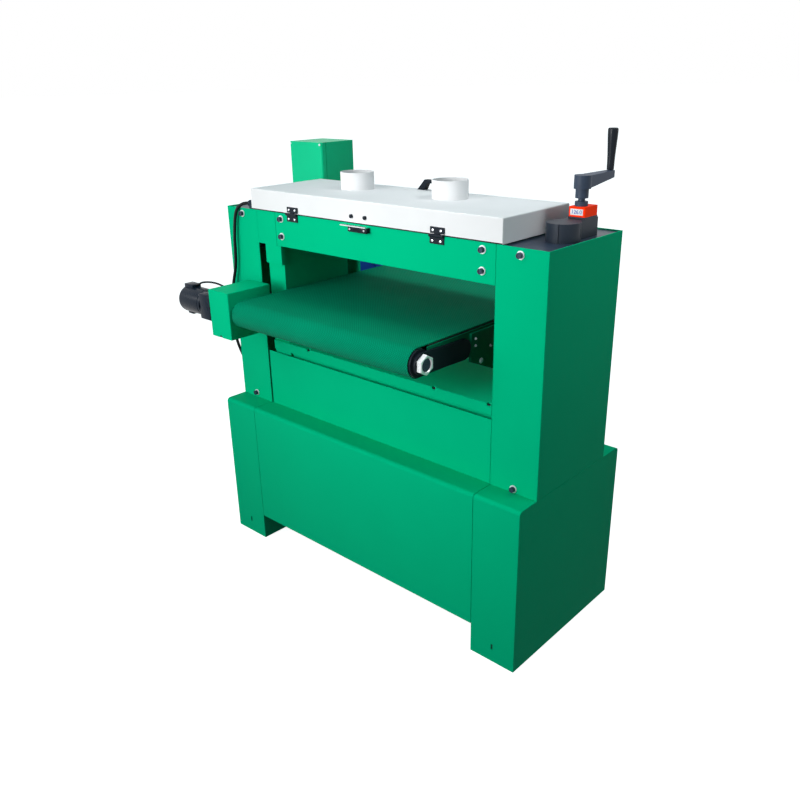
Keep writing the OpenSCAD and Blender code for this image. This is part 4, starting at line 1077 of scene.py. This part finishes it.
# Dark pieces under the notches of the deck and in the notch of the drive box: painted shade for the dark seen
# through the notches; the drive box's one is shaped as a clip with a screw
NOTCH_SHADE_DEEP = 14 * MM
NOTCH_SHADE_TALL = 9 * MM
NOTCH_SHADE_IN = 5.2 * MM
NOTCH_SHADE_LEFT = 350 * MM
NOTCH_SHADE_RIGHT = 343 * MM
NOTCH_SHADE_COLUMN = 12 * MM
BOX_NOTCH = Vector((44, 1.5, 0)) * MM
TAB_TALL = 11 * MM
TAB_FOOT = 12 * MM
TAB_SCREW = 6 * MM


def make_notch_shade_clips():
    bm = bmesh.new()
    under, inner = high("deck").z - BEHIND, COLUMN_Y + NOTCH_SHADE_IN
    for place_x in (low("left_leg").x + NOTCH_SHADE_LEFT, high("right_leg").x - NOTCH_SHADE_RIGHT,
                    low("right_column").x - NOTCH_SHADE_COLUMN):
        add_box(bm, (place_x - BACKING_HALF, inner, under - NOTCH_SHADE_TALL),
                (place_x + BACKING_HALF, inner + NOTCH_SHADE_DEEP, under), BACKING_R)
    build("deck_notch_shade", bm, "frame", "black_paint", material=BLACK_TRIM)
    bm = bmesh.new()
    place = low("drive_box") + BOX_NOTCH
    corner, far = place - X * BACKING_HALF, place + X * BACKING_HALF
    add_box(bm, corner, far + Y * BACKING_T + Z * TAB_TALL, BACKING_R)
    add_box(bm, corner, far + Y * TAB_FOOT + Z * BACKING_T, BACKING_R)
    add_screw(bm, place + Z * TAB_SCREW, FRONT, 2 * MM)
    build("box_clip_painted_shade", bm, "table", "black_paint", material=BLACK_TRIM)


make_slot_shade_plates()
make_notch_shade_clips()


# Screws on the belt guard and on the rear panel
SCREW_INSET = 12 * MM
PANEL_SCREW_R = 4 * MM
PANEL_SHARES = (0.04, 0.35, 0.65, 0.96)


def make_rear_screws():
    bm = bmesh.new()
    lo, hi = low("belt_guard"), high("belt_guard")
    for place_x in (lo.x + SCREW_INSET, hi.x - SCREW_INSET):
        for place_z in (lo.z + SCREW_INSET, hi.z - SCREW_INSET):
            add_screw(bm, (place_x, hi.y, place_z), BACK, PANEL_SCREW_R)
    lo, hi = low("rear_panel"), high("rear_panel")
    for share in PANEL_SHARES:
        for place_z in (lo.z + 1.5 * SCREW_INSET, hi.z - 3 * SCREW_INSET):
            add_screw(bm, (lo.x + share * (hi.x - lo.x), hi.y, place_z), BACK, PANEL_SCREW_R)
    build("rear_screws", bm, "frame", "zinc")


make_rear_screws()


# Floor, sky and lamps. Floor and sky are white to the camera and in reflections.
FLOOR_SIZE = 200
FLOOR_COLOUR = (0.9, 0.9, 0.9, 1)
FLOOR_ROUGH = 0.9
FLOOR_GLOW = 0.86
WHITE = (1, 1, 1, 1)
SKY_HIGH = (0.32, 0.46, 0.49)
SKY_LOW = (0.016, 0.048, 0.05)
SKY_SPAN = (0.12, 0.95)


def make_floor():
    bpy.ops.mesh.primitive_plane_add(size=FLOOR_SIZE)
    floor = bpy.context.object
    floor.name = "floor"
    material, tree, shader = node_material("floor")
    shader.inputs["Base Color"].default_value = FLOOR_COLOUR
    shader.inputs["Roughness"].default_value = FLOOR_ROUGH
    shader.inputs["Emission Color"].default_value = WHITE
    shader.inputs["Emission Strength"].default_value = FLOOR_GLOW
    ray = tree.nodes.new("ShaderNodeLightPath").outputs
    plain = tree.nodes.new("ShaderNodeEmission")
    mirrored = combine(tree, "MAXIMUM", ray["Is Glossy Ray"], ray["Is Transmission Ray"])
    mix_shaders(tree, mirrored, shader.outputs["BSDF"], plain.outputs["Emission"], "Material Output")
    floor.data.materials.append(material)
    floor.visible_diffuse = False


def make_sky():
    """White where it is seen or mirrored, and a soft cool dome as light."""
    world = bpy.data.worlds.new("sky")
    bpy.context.scene.world = world
    world.use_nodes = True
    tree = world.node_tree
    seen = tree.nodes["Background"]
    seen.inputs["Color"].default_value = WHITE
    dome = tree.nodes.new("ShaderNodeBackground")
    height = rescale(tree, split_place(tree, "Generated")["Z"], span=SKY_SPAN)
    tree.links.new(ramp(tree, height, SKY_LOW, SKY_HIGH, 0, 1), dome.inputs["Color"])
    ray = tree.nodes.new("ShaderNodeLightPath").outputs
    mirrored = combine(tree, "MAXIMUM", ray["Is Glossy Ray"], ray["Is Transmission Ray"])
    white = combine(tree, "MAXIMUM", ray["Is Camera Ray"], mirrored)
    mix_shaders(tree, white, dome.outputs["Background"], seen.outputs["Background"], "World Output")


def area_lamp(name, at, aim, size, power, spread):
    data = bpy.data.lights.new(name, "AREA")
    data.size = size
    data.energy = power
    data.spread = math.radians(spread)
    lamp = bpy.data.objects.new(name, data)
    lamp.location = at
    lamp.rotation_euler = (Vector(aim) - Vector(at)).to_track_quat("-Z", "Y").to_euler()
    bpy.context.collection.objects.link(lamp)


# Name, place, aim, size, watts, spread in degrees
LAMPS = (
    ("key", (-0.9, -3.4, 2.1), (0, 0, 1.25), 3.2, 29.8, 90),
    ("fill", (-0.1, -2.6, 1.5), (0.1, 0, 1.2), 1.2, 3.4, 50),
    ("side", (2.0, 0.5, 3.2), (0.35, 0.05, 1.2), 0.8, 1.9, 45),
    ("rim", (-2.4, -1.7, 1.6), (-0.55, -0.33, 0.87), 0.6, 0.3, 40),
    ("top", (0.1, 0.5, 3.2), (0.1, 0.1, 1.2), 1.0, 1.2, 60),
)
make_floor()
make_sky()
for lamp in LAMPS:
    area_lamp(*lamp)
bpy.context.scene.view_settings.view_transform = "Standard"
